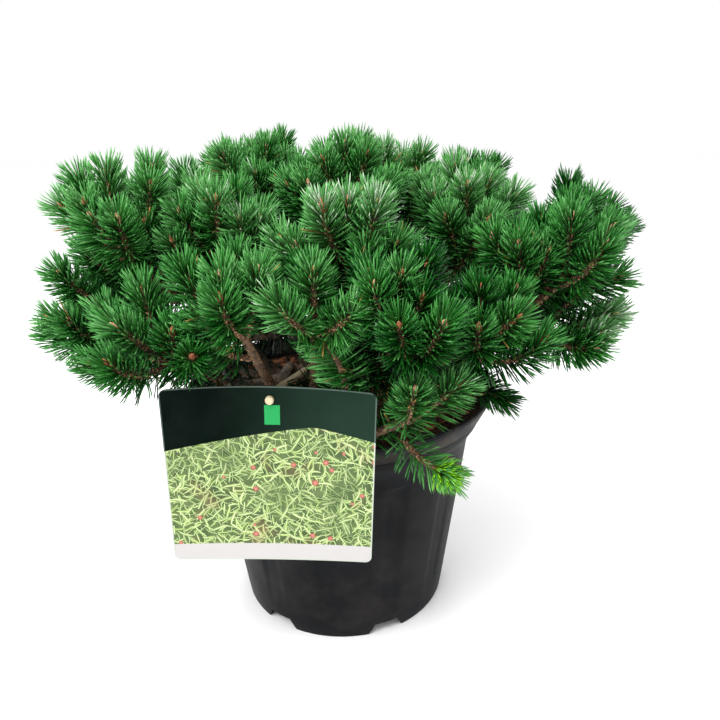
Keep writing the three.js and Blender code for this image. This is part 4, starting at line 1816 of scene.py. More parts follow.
BARK = Finish("bark", (78, 68, 58), (136, 122, 104), (164, 116, 78), 0.3, 110, 0.9, Relief(300, 0.001, 0.5))
TWIG_BARK = Finish(
    "twig_bark", (54, 36, 25), (112, 78, 52), (194, 146, 104), 0.45, 170, 0.85, Relief(420, 0.0005, 0.6)
)
STEM_BARK = Finish(
    "stem_bark", (66, 50, 38), (118, 90, 64), (166, 126, 90), 0.35, 110, 0.9, Relief(300, 0.0006, 0.6)
)
BUD_RUSSET = Finish(
    "bud_russet", (128, 62, 36), (186, 108, 66), (226, 172, 130), 0.4, 400, 0.6, Relief(700, 0.0003, 0.5)
)
BUD_PALE = Finish(
    "bud_pale", (176, 116, 82), (224, 180, 146), (150, 84, 50), 0.35, 400, 0.6, Relief(700, 0.0003, 0.5)
)
COMPOST = Finish("compost", (34, 24, 17), (84, 56, 38), (132, 86, 54), 0.5, 120, 1, Relief(160, 0.002))
CHIP_DARK = Finish(
    "chip_dark", (52, 36, 26), (98, 68, 46), (120, 88, 60), 0.3, 150, 0.95, Relief(300, 0.0008)
)
CHIP_BROWN = Finish(
    "chip_brown", (138, 76, 42), (196, 122, 74), (216, 166, 114), 0.3, 150, 0.9, Relief(300, 0.0008)
)
PEG_WOOD = Finish(
    "peg_wood", (196, 172, 134), (226, 208, 174), (170, 140, 100), 0.25, 90, 0.7, Relief(500, 0.0002, 0.1)
)
POT_RELIEF = Relief(900, 0.0002, 0.4, grain=0.6, strength=0.35)
POT_PLASTIC = Finish("pot_plastic", (13, 14, 16), (22, 23, 26), (32, 30, 27), 0.1, 14, 0.4, POT_RELIEF, 0.06)


# --- the plant ---


@dataclass
class Dressed:
    """A part of the plant that is dressed with the shared shader groups."""

    effects: Effects


@dataclass
class Wood(Dressed):
    """The bark of the trunk, the boughs and the branches."""

    limbs: list[Limb]
    ring_step: float = 2.2
    least_rings: int = 12
    sides: int = 18
    trunk_sides: int = 40
    relief: float = 0.13
    plate: float = 0.11
    plate_squeeze: float = 0.55
    crack_slope: float = 2.2
    crack_level: float = 0.75
    swell: float = 0.05

    def bark_of(self, limb: Limb) -> Shape:
        """The bark of one limb: its round shape, broken into raised plates.

        Args:
            limb: The limb.

        Returns:
            Its vertices and triangles.
        """
        rings = max(self.least_rings, int(np.linalg.norm(limb.path[-1] - limb.path[0]) / self.ring_step))
        sides = self.trunk_sides if limb.node == "trunk" else self.sides
        centres = evenly_along(limb.curve, rings)
        radii = np.repeat(limb.radius(np.linspace(0, 1, rings + 1))[:, None], sides, axis=1)
        _, across, beside = frames_along(centres)
        squeeze = np.array([1, 1, self.plate_squeeze])
        for ring in range(rings + 1):
            for side in range(sides):
                turn = 2 * math.pi * side / sides
                out = across[ring] * math.cos(turn) + beside[ring] * math.sin(turn)
                spot = centres[ring] + out * radii[ring, side]
                cell = Vector(spot * squeeze * self.plate)
                near = noise.voronoi(cell)[0]
                plate = self.relief * (min(1.0, (near[1] - near[0]) * self.crack_slope) - self.crack_level)
                radii[ring, side] *= 1 + plate + self.swell * noise.noise(cell * 0.5)
        return tube(centres, radii)

    def build(self) -> None:
        """Makes a piece for each kind of limb."""
        material = BARK.material(self.effects)
        for kind in ("trunk", "bough", "side_branch", "upper_branch"):
            limbs = [limb for limb in self.limbs if limb.node.startswith(kind)]
            bark = joined([self.bark_of(limb) for limb in limbs])
            settle(link_mesh(f"{kind}_bark", bark, material), "bark", *(limb.node for limb in limbs))


@dataclass
class Foliage(Dressed):
    """All twigs, buds and needles of the crown."""

    nodes: list[str]
    twigs: list[Twig]
    most_triangles: int = 190000
    needle_triangles: int = 10
    dry_share: float = 0.002
    old_dry_share: float = 0.02
    least_rings: int = 4
    scale_step: float = 3.4
    twig_sides: int = 6
    twig_scale: float = 0.2
    twig_stray: float = 0.06
    bud_sides: int = 8
    bud_outline: tuple[float, ...] = (0.55, 0.9, 1.0, 0.95, 0.78, 0.5, 0.2)
    bud_scale: float = 0.09
    bud_shoulder: float = 0.94
    bud_point: float = 0.08
    bud_sunk: float = 1.5
    russet_share: float = 0.6
    bud_length: Span = (8.5, 11.5)
    bud_radius: Span = (2.1, 2.8)
    side_buds: Span = (0, 3.4)
    side_bud_lean: Span = (0.45, 0.8)
    side_bud_length: Span = (4.5, 7)
    side_bud_radius: Span = (1.3, 1.8)
    side_bud_back: float = 2.5
    side_bud_out: float = 1.3
    seed: int = 77

    def piece(self, name: str, shapes: list[Shape], material: Material) -> None:
        """Makes one piece of the crown, which stands in for every spray."""
        settle(link_mesh(name, joined(shapes), material), "needles", *self.nodes)

    def deal(self) -> dict[Shade, Needles]:
        """Deals the needles of all twigs out by shade.

        Returns:
            The needles of each shade.
        """
        rule = NeedleRule()
        dealt: dict[Shade, list[Needles]] = {shade: [] for shade in Shade}
        for twig in self.twigs:
            needles = rule.on(twig).clear()
            if twig.shade is not None:
                dealt[twig.shade].append(needles)
                continue
            rng = np.random.default_rng(twig.seed + 1)
            dry_share = self.old_dry_share if twig.age is TwigAge.OLD else self.dry_share
            dry = rng.random(len(needles.tone)) < dry_share
            dealt[Shade.DRY].append(needles.kept(dry))
            step = np.digitize(needles.tone, GREEN_STEPS)
            for number, shade in enumerate(GREENS):
                dealt[shade].append(needles.kept((step == number) & ~dry))
        return {shade: Needles.joined(parts) for shade, parts in dealt.items()}

    def needle_pieces(self) -> None:
        """Makes the pieces of each shade of needles."""
        for shade, needles in self.deal().items():
            material = needle_finish(shade).material(self.effects)
            count = len(needles.tone)
            pieces = max(1, math.ceil(count * self.needle_triangles / self.most_triangles))
            order = np.arange(count) * pieces // max(1, count)
            for number in range(pieces):
                shape = needles.kept(order == number).shape()
                self.piece(f"needles_{shade.value}_{number + 1}", [shape], material)

    def twig_shape(self, twig: Twig) -> Shape:
        """The wood of one twig, rough with the scales that its needles leave.

        Args:
            twig: The twig.

        Returns:
            Its vertices and triangles.
        """
        rings = max(self.least_rings, int(twig.length / self.scale_step))
        share = np.linspace(0, 1, rings + 1)[:, None]
        side = np.arange(self.twig_sides)[None]
        ring = np.arange(rings + 1)[:, None]
        stray = self.twig_stray * np.sin(ring * 2.4 + side * 1.7 + twig.seed)
        scales = 1 + self.twig_scale * ((ring + side) % 2) + stray
        radii = mix(twig.root_radius, twig.tip_radius, share) * scales
        return tube(evenly_along(twig.points, rings), radii, 2)

    def bud_shape(self, foot: np.ndarray, aim: np.ndarray, length: float, radius: float) -> Shape:
        """One bud: a plump pointed shape with a spiral of scales.

        Args:
            foot: Where it starts.
            aim: Its direction.
            length: Its length.
            radius: Its widest radius.

        Returns:
            Its vertices and triangles.
        """
        outline = np.array(self.bud_outline)[:, None]
        centres = foot + aim * length * np.linspace(0, self.bud_shoulder, len(outline))[:, None]
        side = np.arange(self.bud_sides)[None]
        ring = np.arange(len(outline))[:, None]
        scales = 1 + self.bud_scale * ((ring + side) % 2)
        return tube(centres, outline * radius * scales, length * self.bud_point)

    def bud_pieces(self) -> None:
        """Puts one bud, and often smaller ones beside it, on the end of every young twig."""
        random = Seeded(self.seed)
        russet: list[Shape] = []
        pale: list[Shape] = []
        for twig in self.twigs:
            if twig.age is TwigAge.OLD:
                continue
            buds = russet if random.next() < self.russet_share else pale
            aim = unit(twig.points[-1] - twig.points[-2])
            tip = twig.points[-1]
            side = unit(np.cross(aim, SIDEWAYS + UP * 0.3))
            up = np.cross(aim, side)
            length = random.span(self.bud_length)
            buds.append(self.bud_shape(tip - aim * self.bud_sunk, aim, length, random.span(self.bud_radius)))
            for _ in range(int(random.span(self.side_buds))):
                turn = random.span((0, 2 * math.pi))
                out = side * math.cos(turn) + up * math.sin(turn)
                lean = unit(aim + out * random.span(self.side_bud_lean))
                length = random.span(self.side_bud_length)
                foot = tip - aim * self.side_bud_back + out * self.side_bud_out
                buds.append(self.bud_shape(foot, lean, length, random.span(self.side_bud_radius)))
        self.piece("buds_russet", russet, BUD_RUSSET.material(self.effects))
        self.piece("buds_pale", pale, BUD_PALE.material(self.effects))

    def build(self) -> None:
        """Makes the twigs, the buds and the needles."""
        for name, age, finish in (("stems", TwigAge.OLD, STEM_BARK), ("twigs", TwigAge.YOUNG, TWIG_BARK)):
            shapes = [self.twig_shape(twig) for twig in self.twigs if twig.age is age]
            self.piece(name, shapes, finish.material(self.effects))
        self.bud_pieces()
        self.needle_pieces()


# --- the pot, the compost, the label and the peg ---


@dataclass
class Pot(Dressed):
    """The moulded nursery pot. One of its feet faces the front."""

    segments: int = 240
    flutes: int = 12
    front_foot: float = -96.6
    flute_half: float = 4.8
    flute_edge: float = 0.9
    flute_depth: float = 1.3
    flute_top: Span = (185.5, 190.5)
    flute_foot: Span = (16, 60)
    shoulder: Span = (142.6, 206)
    crease: Span = (151.2, 219.5)
    step: Span = (153.2, 227.5)
    notches: int = 6
    notch_bottom: float = 20.3
    notch_top: float = 13
    notch_height: float = 13.5
    notch_inner: float = 97
    sharp: float = 32
    roughness: Span = (0.4, 0.52)
    dust: Span = (0.1, 0.5)

    def profile(self) -> np.ndarray:
        """Outline of the wall, from the axis under the pot round the lip to the axis inside.

        Returns:
            Radius and height of each point.
        """
        foot, lip, top, wall = POT.base_radius, POT.lip_radius, POT.height, POT.wall
        band_top = top - POT.lip_height
        (wide, low), (crease, crease_z), (step, step_z) = self.shoulder, self.crease, self.step
        outer = [(0, 0), (foot - 3, 0), (foot - 0.8, 0.5), (foot, 2.2)]
        outer += [(float(POT.outer(z)), z) for z in (*np.linspace(14, 180, 15), 184, 186.5, 188.5, 191, 194)]
        outer += [(mix(outer[-1][0], wide, 0.5), 200), (wide, low - 0.6), (wide + 0.7, low + 0.8)]
        outer += [(mix(wide, crease, share), mix(low, crease_z, share)) for share in (0.5, 0.92)]
        outer += [(crease + 0.1, crease_z + 1), (mix(crease, step, 0.6), mix(crease_z, step_z, 0.6))]
        outer += [(step, step_z), (step + 1.7, step_z + 0.6), (step + 2.4, step_z + 1.7)]
        for share in (0.35, 0.65, 0.92):
            outer.append((mix(step + 2, lip, share), mix(step_z + 1, band_top, share)))
        outer += [(lip, band_top + 0.5), (lip, top - 1.2), (lip - 0.8, top)]
        inner = [(lip - wall + 0.4, top), (lip - wall - 0.2, top - 1)]
        inner += [(float(POT.outer(z)) - wall, z) for z in (band_top, 236, 222, 219, 200, 195, 120, 20)]
        return np.array([*outer, *inner, (foot - 6, 16), (0, 16)])

    def build(self) -> None:
        """Makes the pot with its flutes and feet."""
        vertices, triangles = lathe(self.profile(), self.segments)
        height = vertices[:, 2]
        azimuth = np.degrees(np.arctan2(vertices[:, 1], vertices[:, 0]))
        spacing = 360 / self.flutes
        offset = np.abs((azimuth - self.front_foot + spacing / 2) % spacing - spacing / 2)
        radius = np.hypot(vertices[:, 0], vertices[:, 1])
        outside = radius > POT.outer(height) - 1
        side = 1 - smooth_step(self.flute_half - self.flute_edge, self.flute_half + self.flute_edge, offset)
        level = (1 - smooth_step(*self.flute_top, height)) * smooth_step(*self.flute_foot, height)
        sink = self.flute_depth * side * level * outside
        vertices[:, :2] *= (1 - sink / np.maximum(radius, 1))[:, None]
        piece = link_mesh("pot_shell", (vertices, triangles), self.material())
        for index in range(self.notches):
            azimuth = math.radians(self.front_foot + 360 / self.notches * (index + 0.5))
            cut(piece, self.notch_tool(azimuth), Cut.AWAY)
        smooth_but_sharp(piece, self.sharp)
        settle(piece, "pot_plastic", "pot")

    def notch_tool(self, azimuth: float) -> Object:
        """The block that cuts one recess between two feet.

        Args:
            azimuth: Where the recess is, in radians.

        Returns:
            The block.
        """
        wide, narrow, top = self.notch_bottom, self.notch_top, self.notch_height
        outline = [(-wide, -1), (wide, -1), (narrow, top), (-narrow, top)]
        corners = [(radius, y, z) for radius in (self.notch_inner, POT.lip_radius) for y, z in outline]
        c = math.cos(azimuth)
        s = math.sin(azimuth)
        turn = np.array([[c, -s, 0], [s, c, 0], [0, 0, 1]])
        return link_mesh("notch_tool", (np.array(corners) @ turn.T, prism_faces(len(outline))))

    def material(self) -> Material:
        """Charcoal moulded plastic with a faint sheen, dust, a few pale specks and a painted shadow line
        under the rim's step.

        Returns:
            The material.
        """
        made, board, shader = new_material(POT_PLASTIC.name)
        mottle = POT_PLASTIC.mottle(board, self.effects)
        height = board.add("SeparateXYZ", {0: board.place()}).outputs[2]
        step_z = self.step[1]
        amount = board.spread(height, (step_z - 1) * MM, (step_z + 5) * MM, self.dust)
        inputs = {"Color": mottle["Color"], "Dust": tint(118, 106, 92), "Amount": amount, "Specks": 1.0}
        dusty = board.add("Group", inputs, node_tree=self.effects.dust).outputs["Color"]
        # Painted shadow: a near-black line just under the rim's step, where the step overhangs the neck.
        off_step = board.distance(height, (step_z - 1.2) * MM)
        shade = board.spread(off_step, 0.8 * MM, 2.2 * MM, (0.75, 0.0))
        board.put(shader["Base Color"], board.blend(shade, dusty, tint(4, 4, 5)))
        shader["Specular IOR Level"].default_value = POT_PLASTIC.specular
        board.put(shader["Roughness"], board.spread(mottle["Mask"], 0, 1, self.roughness))
        board.put(shader["Normal"], POT_PLASTIC.relief.normal(board, self.effects))
        return made


BLOCK_CORNERS = np.array([(x, y, z) for x in (-1, 1) for y in (-1, 1) for z in (-1, 1)], float)
BLOCK_FACES = np.array([
    (0, 1, 3), (0, 3, 2), (4, 6, 7), (4, 7, 5), (0, 4, 5), (0, 5, 1),
    (2, 3, 7), (2, 7, 6), (0, 2, 6), (0, 6, 4), (1, 5, 7), (1, 7, 3),
])


@dataclass
class Compost(Dressed):
    """The compost in the pot, with bark chips and fallen needles on it."""

    segments: int = 200
    rings: int = 72
    sunk: float = 2
    depth: float = 60
    gap: float = 0.3
    roughness: float = 3.4
    chips: int = 900
    brown_every: int = 3
    chip_size: tuple[Span, ...] = ((3, 9), (2, 5), (1, 2.4))
    chip_wear: Span = (0.7, 1.1)
    chip_turn: Span = (0, 6.28)
    chip_lean: float = 0.3
    chip_lift: float = 0.8
    fallen: int = 90
    fallen_length: Span = (24, 34)
    fallen_radius: float = 0.6
    fallen_rise: float = 0.03
    fallen_lift: float = 2.6
    seed: int = 31

    def radius(self, z: float) -> float:
        """Its radius at a height."""
        return float(POT.outer(z)) - POT.wall - self.gap

    def bump(self, x: float, y: float) -> float:
        """How far its rough top stands over its level.

        Args:
            x: The place's distance from the middle along X.
            y: Its distance along Y.

        Returns:
            The height.
        """
        broad = noise.noise(Vector((x * 0.03, y * 0.03, 1.3)))
        fine = noise.noise(Vector((x * 0.16, y * 0.16, 4.1)))
        return self.roughness * (0.7 * broad + 0.5 * fine)

    def build(self) -> None:
        """Makes the compost's rough top and what lies on it."""
        top = POT.soil_top - self.sunk
        wall = (top - self.depth, POT.shoulder_z, POT.neck_z)
        profile = [(0, wall[0])] + [(self.radius(z), z) for z in wall]
        profile += [(self.radius(top) * share, top) for share in np.linspace(1, 0, self.rings)]
        vertices, triangles = lathe(np.array(profile), self.segments)
        for vertex in vertices:
            if vertex[2] > top - 1:
                vertex[2] += self.bump(vertex[0], vertex[1])
        rng = np.random.default_rng(self.seed)
        chips = [(self.chip(rng, top), BLOCK_FACES) for _ in range(self.chips)]
        dark = [chip for number, chip in enumerate(chips) if number % self.brown_every]
        pieces = (
            ("compost", [(vertices, triangles)], COMPOST),
            ("chips_dark", dark, CHIP_DARK),
            ("chips_brown", chips[:: self.brown_every], CHIP_BROWN),
            ("fallen_needles", [self.fallen_needles(rng, top).shape()], needle_finish(Shade.DRY)),
        )
        for name, shapes, finish in pieces:
            smooth = not name.startswith("chips")
            settle(link_mesh(name, joined(shapes), finish.material(self.effects), smooth), "compost", "soil")

    def chip(self, rng: np.random.Generator, top: float) -> np.ndarray:
        """One chip of bark on the compost.

        Args:
            rng: The stream of numbers.
            top: Level of the compost.

        Returns:
            Its eight corners.
        """
        radius = (self.radius(top) - 8) * math.sqrt(rng.random())
        angle = 2 * math.pi * rng.random()
        size = np.array([rng.uniform(*limits) for limits in self.chip_size])
        corners = BLOCK_CORNERS * size * rng.uniform(*self.chip_wear, BLOCK_CORNERS.shape)
        spin = Matrix.Rotation(rng.uniform(*self.chip_turn), 3, "Z")
        lean = Matrix.Rotation(rng.normal(0, self.chip_lean), 3, "X")
        x = radius * math.cos(angle)
        y = radius * math.sin(angle)
        return corners @ np.array(spin @ lean).T + np.array([x, y, top + self.bump(x, y) + self.chip_lift])

    def fallen_needles(self, rng: np.random.Generator, top: float) -> Needles:
        """The dry needles on the compost.

        Args:
            rng: The stream of numbers.
            top: Level of the compost.

        Returns:
            The needles.
        """
        count = self.fallen
        radius = (self.radius(top) - 20) * np.sqrt(rng.random(count))
        angle = 2 * np.pi * rng.random(count)
        x = radius * np.cos(angle)
        y = radius * np.sin(angle)
        z = np.array([top + self.bump(*spot) + self.fallen_lift for spot in zip(x, y)])
        lie = 2 * np.pi * rng.random(count)
        return Needles(
            foot=np.stack([x, y, z], axis=1),
            aim=unit(np.stack([np.cos(lie), np.sin(lie), np.full(count, self.fallen_rise)], axis=1)),
            bow=np.zeros((count, 3)),
            length=rng.uniform(*self.fallen_length, count),
            radius=np.full(count, self.fallen_radius),
            tone=np.zeros(count),
        )


@dataclass(frozen=True)
class LeafLayer:
    """One layer of the label's printed leaves."""

    scale: float  # leaves to a metre
    width: float  # how broad the leaves are
    offset: Point  # where the layer's pattern starts
    dark: Colour  # the leaves' darker colour
    light: Colour  # their lighter colour

    def over(
        self, below: NodeSocket, board: Board, flat: NodeSocket
    ) -> NodeSocket:
        """Prints the layer over what lies below it.

        Args:
            below: The colour below.
            board: The print's board.
            flat: The place on the sheet, without its depth.

        Returns:
            The colour with the layer on it.
        """
        moved = board.add("VectorMath", {0: flat, 1: self.offset}, operation="ADD").outputs[0]
        inputs = {"Vector": moved, "Scale": self.scale, "Randomness": 0.8}
        cells = board.add("TexVoronoi", inputs, voronoi_dimensions="2D").outputs
        away = board.add("VectorMath", {0: moved, 1: cells["Position"]}, operation="SUBTRACT").outputs[0]
        parts = board.add("SeparateXYZ", {0: away}).outputs
        drawn = board.add("SeparateColor", {0: cells["Color"]}).outputs
        tufts = board.noise(cells["Position"], 30.0, 2.0)
        turn = board.math("MULTIPLY_ADD", tufts, 22.0, board.multiply(drawn[0], 1.1))
        cosine = board.math("COSINE", turn)
        sine = board.math("SINE", turn)
        x = board.multiply(parts[0], self.scale)
        z = board.multiply(parts[1], self.scale)
        along = board.math("ADD", board.multiply(x, cosine), board.multiply(z, sine))
        across = board.math("SUBTRACT", board.multiply(z, cosine), board.multiply(x, sine))
        squared = board.multiply(along, along)
        bow = board.spread(drawn[1], 0, 1, (-0.5, 0.5))
        across = board.math("MULTIPLY_ADD", squared, bow, across)
        width = board.multiply(board.math("SUBTRACT", 0.36, squared), self.width)
        beside = board.math("ABSOLUTE", across)
        inside = board.spread(board.math("SUBTRACT", width, beside), 0, 0.03)
        vein = board.math("SINE", board.multiply(board.math("SUBTRACT", along, beside), 34.0))
        fold = board.math("GREATER_THAN", across, 0.0)
        light = board.math("MULTIPLY_ADD", fold, 0.4, board.math("MULTIPLY_ADD", vein, 0.08, 0.3))
        light = board.math("ADD", light, board.spread(drawn[2], 0, 1, (-0.3, 0.35)))
        leaf = board.blend(board.spread(light, 0, 1), self.dark, self.light)
        rib = board.multiply(board.math("LESS_THAN", beside, 0.022), 0.6)
        return board.blend(inside, below, board.blend(rib, leaf, tint(232, 240, 190)))


@dataclass
class Label(Dressed):
    """The printed plastic label: a dark band over a picture panel and a white strip.

    Its band's lower edge is two straight lines that meet in a soft peak.
    """

    steps: int = 60
    corner_steps: int = 8
    hole_sides: int = 40
    tool_reach: float = 40
    sharp: float = 30
    edge: float = 1.1
    strip_top: float = -67
    band_left: float = 44.95
    band_left_slope: float = 0.172
    band_right: float = 58.5
    band_right_slope: float = -0.194
    band_peak: float = 4
    patch_centre: Span = (1.8, 61.4)
    patch_half: Span = (6.6, 9.1)
    leaf_layers: tuple[LeafLayer, ...] = (
        LeafLayer(92, 0.42, (0.31, 0.12, 0), tint(34, 58, 32), tint(84, 112, 56)),
        LeafLayer(104, 0.36, (0.72, 0.44, 0), tint(48, 80, 42), tint(110, 138, 66)),
        LeafLayer(86, 0.34, (0.15, 0.93, 0), tint(64, 96, 46), tint(134, 162, 78)),
        LeafLayer(110, 0.34, (0.53, 0.71, 0), tint(70, 104, 58), tint(142, 168, 92)),
        LeafLayer(78, 0.3, (0.88, 0.27, 0), tint(88, 118, 62), tint(160, 184, 106)),
        LeafLayer(98, 0.28, (0.05, 0.35, 0), tint(96, 124, 74), tint(172, 192, 126)),
        LeafLayer(70, 0.26, (0.4, 0.6, 0), tint(104, 132, 70), tint(182, 198, 138)),
    )

    def sheet(self) -> Object:
        """The curled sheet before its outline is cut, in the label's own frame.

        Returns:
            The sheet.
        """
        x = np.linspace(-LABEL.width / 2, LABEL.width / 2, self.steps + 1)
        half = LABEL.height / 2
        rows = []
        for depth in (0, LABEL.thickness):
            for bow, z in ((LABEL.foot_bow, -half), (LABEL.top_bow, half + LABEL.arch)):
                back = np.sqrt(bow**2 - x**2) - bow - depth
                rows.append(np.stack([x, back, np.full(len(x), z)], axis=1))
        row = self.steps + 1
        spot = np.arange(self.steps)
        faces = []
        for low, high in ((0, row), (3 * row, 2 * row), (row, 3 * row), (2 * row, 0)):
            faces.append(np.stack([low + spot, high + spot, high + spot + 1], axis=1))
            faces.append(np.stack([low + spot, high + spot + 1, low + spot + 1], axis=1))
        faces.append(np.array([(0, 2, 3), (0, 3, 1)]) * row)
        faces.append(np.array([(0, 1, 3), (0, 3, 2)]) * row + self.steps)
        return link_mesh("label_sheet", (np.concatenate(rows), np.concatenate(faces)))

    def outline(self) -> Object:
        """The block with the label's rounded outline.

        Returns:
            The block.
        """
        corner = LABEL.corner
        right = LABEL.width / 2 - corner
        bottom = corner - LABEL.height / 2
        top = LABEL.height / 2 + LABEL.arch - corner
        ring = []
        for x, z, start in ((right, top, 0), (-right, top, 90), (-right, bottom, 180), (right, bottom, 270)):
            for step in range(self.corner_steps + 1):
                turn = math.radians(start + step * 90 / self.corner_steps)
                ring.append((x + corner * math.cos(turn), z + corner * math.sin(turn)))
        return self.block("label_outline", ring)

    def punch(self) -> Object:
        """The rod that punches the hole.

        Returns:
            The rod.
        """
        z = LABEL.height / 2 - LABEL.hole_below_top
        radius = LABEL.hole_radius
        turns = [2 * math.pi * step / self.hole_sides for step in range(self.hole_sides)]
        return self.block("label_punch", [(radius * math.cos(t), z + radius * math.sin(t)) for t in turns])

    def block(self, name: str, ring: list[Span]) -> Object:
        """An upright outline, its corners given as x and z, drawn out along Y."""
        corners = np.array([(x, y, z) for y in (-self.tool_reach, self.tool_reach) for x, z in ring])
        return link_mesh(name, (corners, prism_faces(len(ring))))

    def build(self) -> None:
        """Makes the label with its print on the front."""
        piece = self.sheet()
        cut(piece, self.outline(), Cut.TO)
        cut(piece, self.punch(), Cut.AWAY)
        piece.data.materials.append(self.print_material())
        piece.data.materials.append(self.back_material())
        for face in piece.data.polygons:
            face.material_index = 1 if face.normal.y > 0.5 else 0
        smooth_but_sharp(piece, self.sharp)
        piece.location = Vector(LABEL.centre) * MM
        piece.rotation_euler = (0, math.radians(LABEL.roll), 0)
        bpy.context.view_layer.update()
        settle(piece, "label_sheet", "label")

    def back_material(self) -> Material:
        """The plain white back.

        Returns:
            The material.
        """
        made, board, shader = new_material("label_back")
        haze = board.spread(board.noise(board.place(), 40.0, 4.0), 0.3, 0.7)
        board.put(shader["Base Color"], board.blend(haze, tint(226, 228, 224), tint(240, 241, 238)))
        shader["Roughness"].default_value = 0.35
        return made

    def print_material(self) -> Material:
        """The print: band with a painted sheen that lightens it to the right, plain patch, a pattern of
        leaves with pink berries, and the white strip.

        Returns:
            The material.
        """
        made, board, shader = new_material("label_print")
        sides = board.add("SeparateXYZ", {0: board.place()}).outputs
        x = board.multiply(sides[0], 1 / MM)
        z = board.multiply(sides[2], 1 / MM)
        left = board.math("MULTIPLY_ADD", x, self.band_left_slope, self.band_left)
        right = board.math("MULTIPLY_ADD", x, self.band_right_slope, self.band_right)
        band = board.math("GREATER_THAN", z, board.math("SMOOTH_MIN", left, right, self.band_peak))
        strip = board.math("LESS_THAN", z, self.strip_top)
        in_patch = board.multiply(
            board.math("LESS_THAN", board.distance(x, self.patch_centre[0]), self.patch_half[0]),
            board.math("LESS_THAN", board.distance(z, self.patch_centre[1]), self.patch_half[1]),
        )
        half = (LABEL.height + LABEL.arch) / 2
        side = board.math("GREATER_THAN", board.distance(x, 0.0), LABEL.width / 2 - self.edge)
        end = board.math("GREATER_THAN", board.distance(z, LABEL.arch / 2), half - self.edge)
        rim = board.math("MAXIMUM", side, end)
        # Painted sheen: the dark band is made lighter from left to right, a painted reflection on its gloss.
        band_with_painted_sheen = board.blend(board.spread(x, -40, 60), tint(0, 11, 6), tint(28, 47, 37))
        band_with_painted_sheen = board.blend(board.multiply(rim, 0.25), band_with_painted_sheen, tint(150, 170, 160))
        flat = board.add("CombineXYZ", {0: sides[0], 1: sides[2]}).outputs[0]
        colour = board.blend(strip, self.picture(board, flat), tint(184, 181, 180))
        colour = board.blend(rim, colour, tint(178, 184, 172))
        colour = board.blend(in_patch, board.blend(band, colour, band_with_painted_sheen), tint(44, 152, 84))
        inputs = {"Color": colour, "Dust": tint(150, 165, 158), "Amount": 0.015, "Specks": 0.8}
        dusty = board.add("Group", inputs, node_tree=self.effects.dust).outputs["Color"]
        board.put(shader["Base Color"], dusty)
        shader["Roughness"].default_value = 0.3
        shader["Specular IOR Level"].default_value = 0.03
        return made

    def picture(self, board: Board, flat: NodeSocket) -> NodeSocket:
        """A pattern of small leaves in yellow-greens with pink berries between them.

        Args:
            board: The print's board.
            flat: The place on the sheet, without its depth.

        Returns:
            The pattern's colour.
        """
        haze = board.spread(board.noise(flat, 26.0, 4.0), 0.35, 0.65)
        colour = board.blend(haze, tint(58, 76, 50), tint(112, 128, 84))
        for layer in self.leaf_layers:
            colour = layer.over(colour, board, flat)
        broad = board.noise(flat, 24.0, 2.0)
        colour = board.blend(board.spread(broad, 0.52, 0.7, (0.0, 0.62)), colour, tint(62, 84, 50))
        colour = board.blend(board.spread(broad, 0.3, 0.44, (0.4, 0.0)), colour, tint(150, 116, 92))
        inputs = {"Vector": flat, "Scale": 40.0, "Randomness": 0.9}
        berries = board.add("TexVoronoi", inputs, voronoi_dimensions="2D").outputs
        drawn = board.add("SeparateColor", {0: berries["Color"]}).outputs
        size = board.spread(drawn[1], 0, 1, (0.06, 0.13))
        round_off = board.math("DIVIDE", berries["Distance"], size)
        soft = board.spread(round_off, 0.75, 1.1, (1, 0))
        berry = board.blend(round_off, tint(202, 138, 126), tint(142, 70, 60))
        chosen = board.math("GREATER_THAN", drawn[2], 0.35)
        return board.blend(board.multiply(soft, chosen), colour, berry)


@dataclass
class Peg(Dressed):
    """The wooden peg that passes through the label."""

    trunk: Limb
    sides: int = 28

    def build(self) -> None:
        """Makes the peg with slightly rounded ends."""
        start, middle, end = PEG.path(self.trunk)
        first = unit(middle - start)
        last = unit(end - middle)
        near = [start, start + first * 0.5, start + first * 1.2, middle - first * 2, middle + last * 2]
        far = [mix(middle, end, share) for share in (0.3, 0.6, 0.97)]
        shares = np.array([0.82, 0.95, 1, 1, 1, 1, 1, 1])
        radii = np.repeat((shares * PEG.radius)[:, None], self.sides, axis=1)
        rod = tube(np.array([*near, *far]), radii)
        settle(link_mesh("peg_rod", rod, PEG_WOOD.material(self.effects)), "peg_wood", "label_peg")


# --- the studio ---


@dataclass(frozen=True)
class Lamp:
    """A soft square light, with its sizes in metres."""

    name: str
    place: Point  # where it hangs
    target: Point  # the point it faces
    size: float  # its side
    power: float  # its power in watts

    def build(self) -> None:
        """Makes the light."""
        data = bpy.data.lights.new(self.name, "AREA")
        data.size = self.size
        data.energy = self.power
        made = bpy.data.objects.new(self.name, data)
        made.location = self.place
        made.rotation_euler = (Vector(self.target) - Vector(self.place)).to_track_quat("-Z", "Y").to_euler()
        bpy.context.scene.collection.objects.link(made)


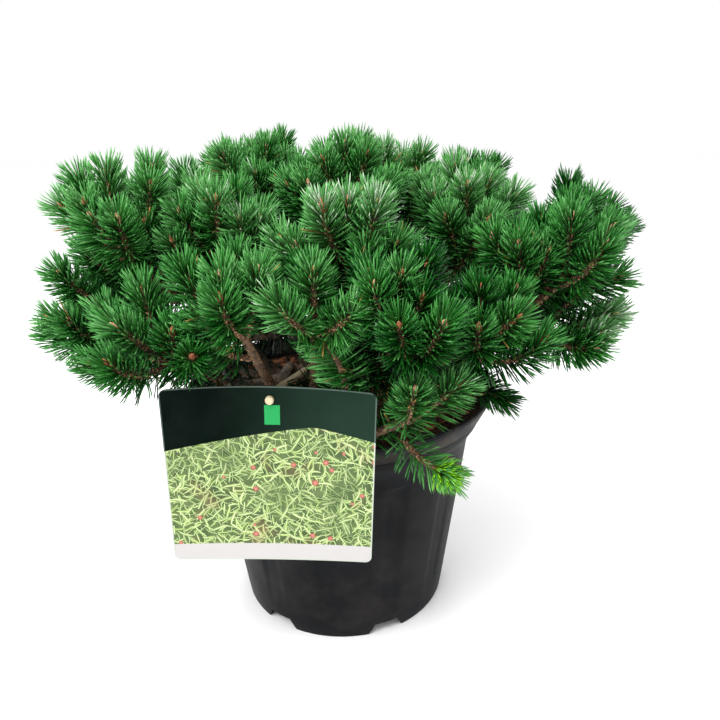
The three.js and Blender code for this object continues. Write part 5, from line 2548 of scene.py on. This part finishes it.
@dataclass
class Studio:
    """The pale floor, the soft light and the camera, with its sizes in metres."""

    lens: float = 35.4
    camera_place: Point = (0.022, -0.716, 0.5442)
    pitch: float = 20.74
    roll: float = -0.94
    nearest: float = 0.01
    floor_half: float = 6
    floor_tint: Colour = tint(253, 253, 253)
    floor_roughness: float = 0.9
    lamps: tuple[Lamp, ...] = (
        Lamp("key", (-0.4, -1.0, 1.9), (0, 0, 0.3), 1.0, 34),
        Lamp("fill", (-1.3, -0.9, 1.1), (0, 0, 0.3), 1.0, 12),
        Lamp("rear", (0.2, 1.5, 1.5), (0, 0, 0.35), 1.2, 14),
    )

    def build(self) -> None:
        """Makes the studio."""
        self.camera()
        self.floor()
        for lamp in self.lamps:
            lamp.build()
        scene = bpy.context.scene
        world = bpy.data.worlds.new("studio")
        world.use_nodes = True
        world.node_tree.nodes["Background"].inputs["Color"].default_value = (1, 1, 1, 1)
        world.node_tree.nodes["Background"].inputs["Strength"].default_value = 1.0
        scene.world = world
        scene.view_settings.view_transform = "Standard"
        scene.view_settings.look = "None"

    def camera(self) -> None:
        """Makes the camera."""
        data = bpy.data.cameras.new("camera")
        data.lens = self.lens
        data.clip_start = self.nearest
        made = bpy.data.objects.new("camera", data)
        made.location = self.camera_place
        made.rotation_mode = "ZYX"
        made.rotation_euler = (math.radians(90 - self.pitch), 0, math.radians(self.roll))
        bpy.context.scene.collection.objects.link(made)
        bpy.context.scene.camera = made

    def floor(self) -> None:
        """Makes the pale floor."""
        half = self.floor_half
        mesh = bpy.data.meshes.new("floor")
        corners = [(-half, -half, 0), (half, -half, 0), (half, half, 0), (-half, half, 0)]
        mesh.from_pydata(corners, [], [(0, 1, 2, 3)])
        made = bpy.data.objects.new("floor", mesh)
        paint, _, shader = new_material("floor_paint")
        shader["Base Color"].default_value = self.floor_tint
        shader["Roughness"].default_value = self.floor_roughness
        mesh.materials.append(paint)
        bpy.context.scene.collection.objects.link(made)


def main() -> None:
    """Builds the whole part in order."""
    logging.basicConfig(level=logging.INFO, format="%(name)s %(message)s")
    effects = Effects()
    sprays = CrownRule().plan()
    limbs = LimbRule().all(sprays)
    trunk = limbs[0]
    rule = TwigRule()
    twigs: list[Twig] = []
    for spray in sprays:
        twigs += rule.twigs_of(spray, SpraySpace(spray, sprays, limbs, PEG.path(trunk)))
    twigs += rule.lone_twigs() + rule.twigs_along(limbs)
    Pot(effects).build()
    Compost(effects).build()
    Wood(effects, limbs).build()
    Label(effects).build()
    Peg(effects, trunk).build()
    Foliage(effects, [spray.node for spray in sprays], twigs).build()
    Studio().build()


if __name__ == "__main__":
    main()
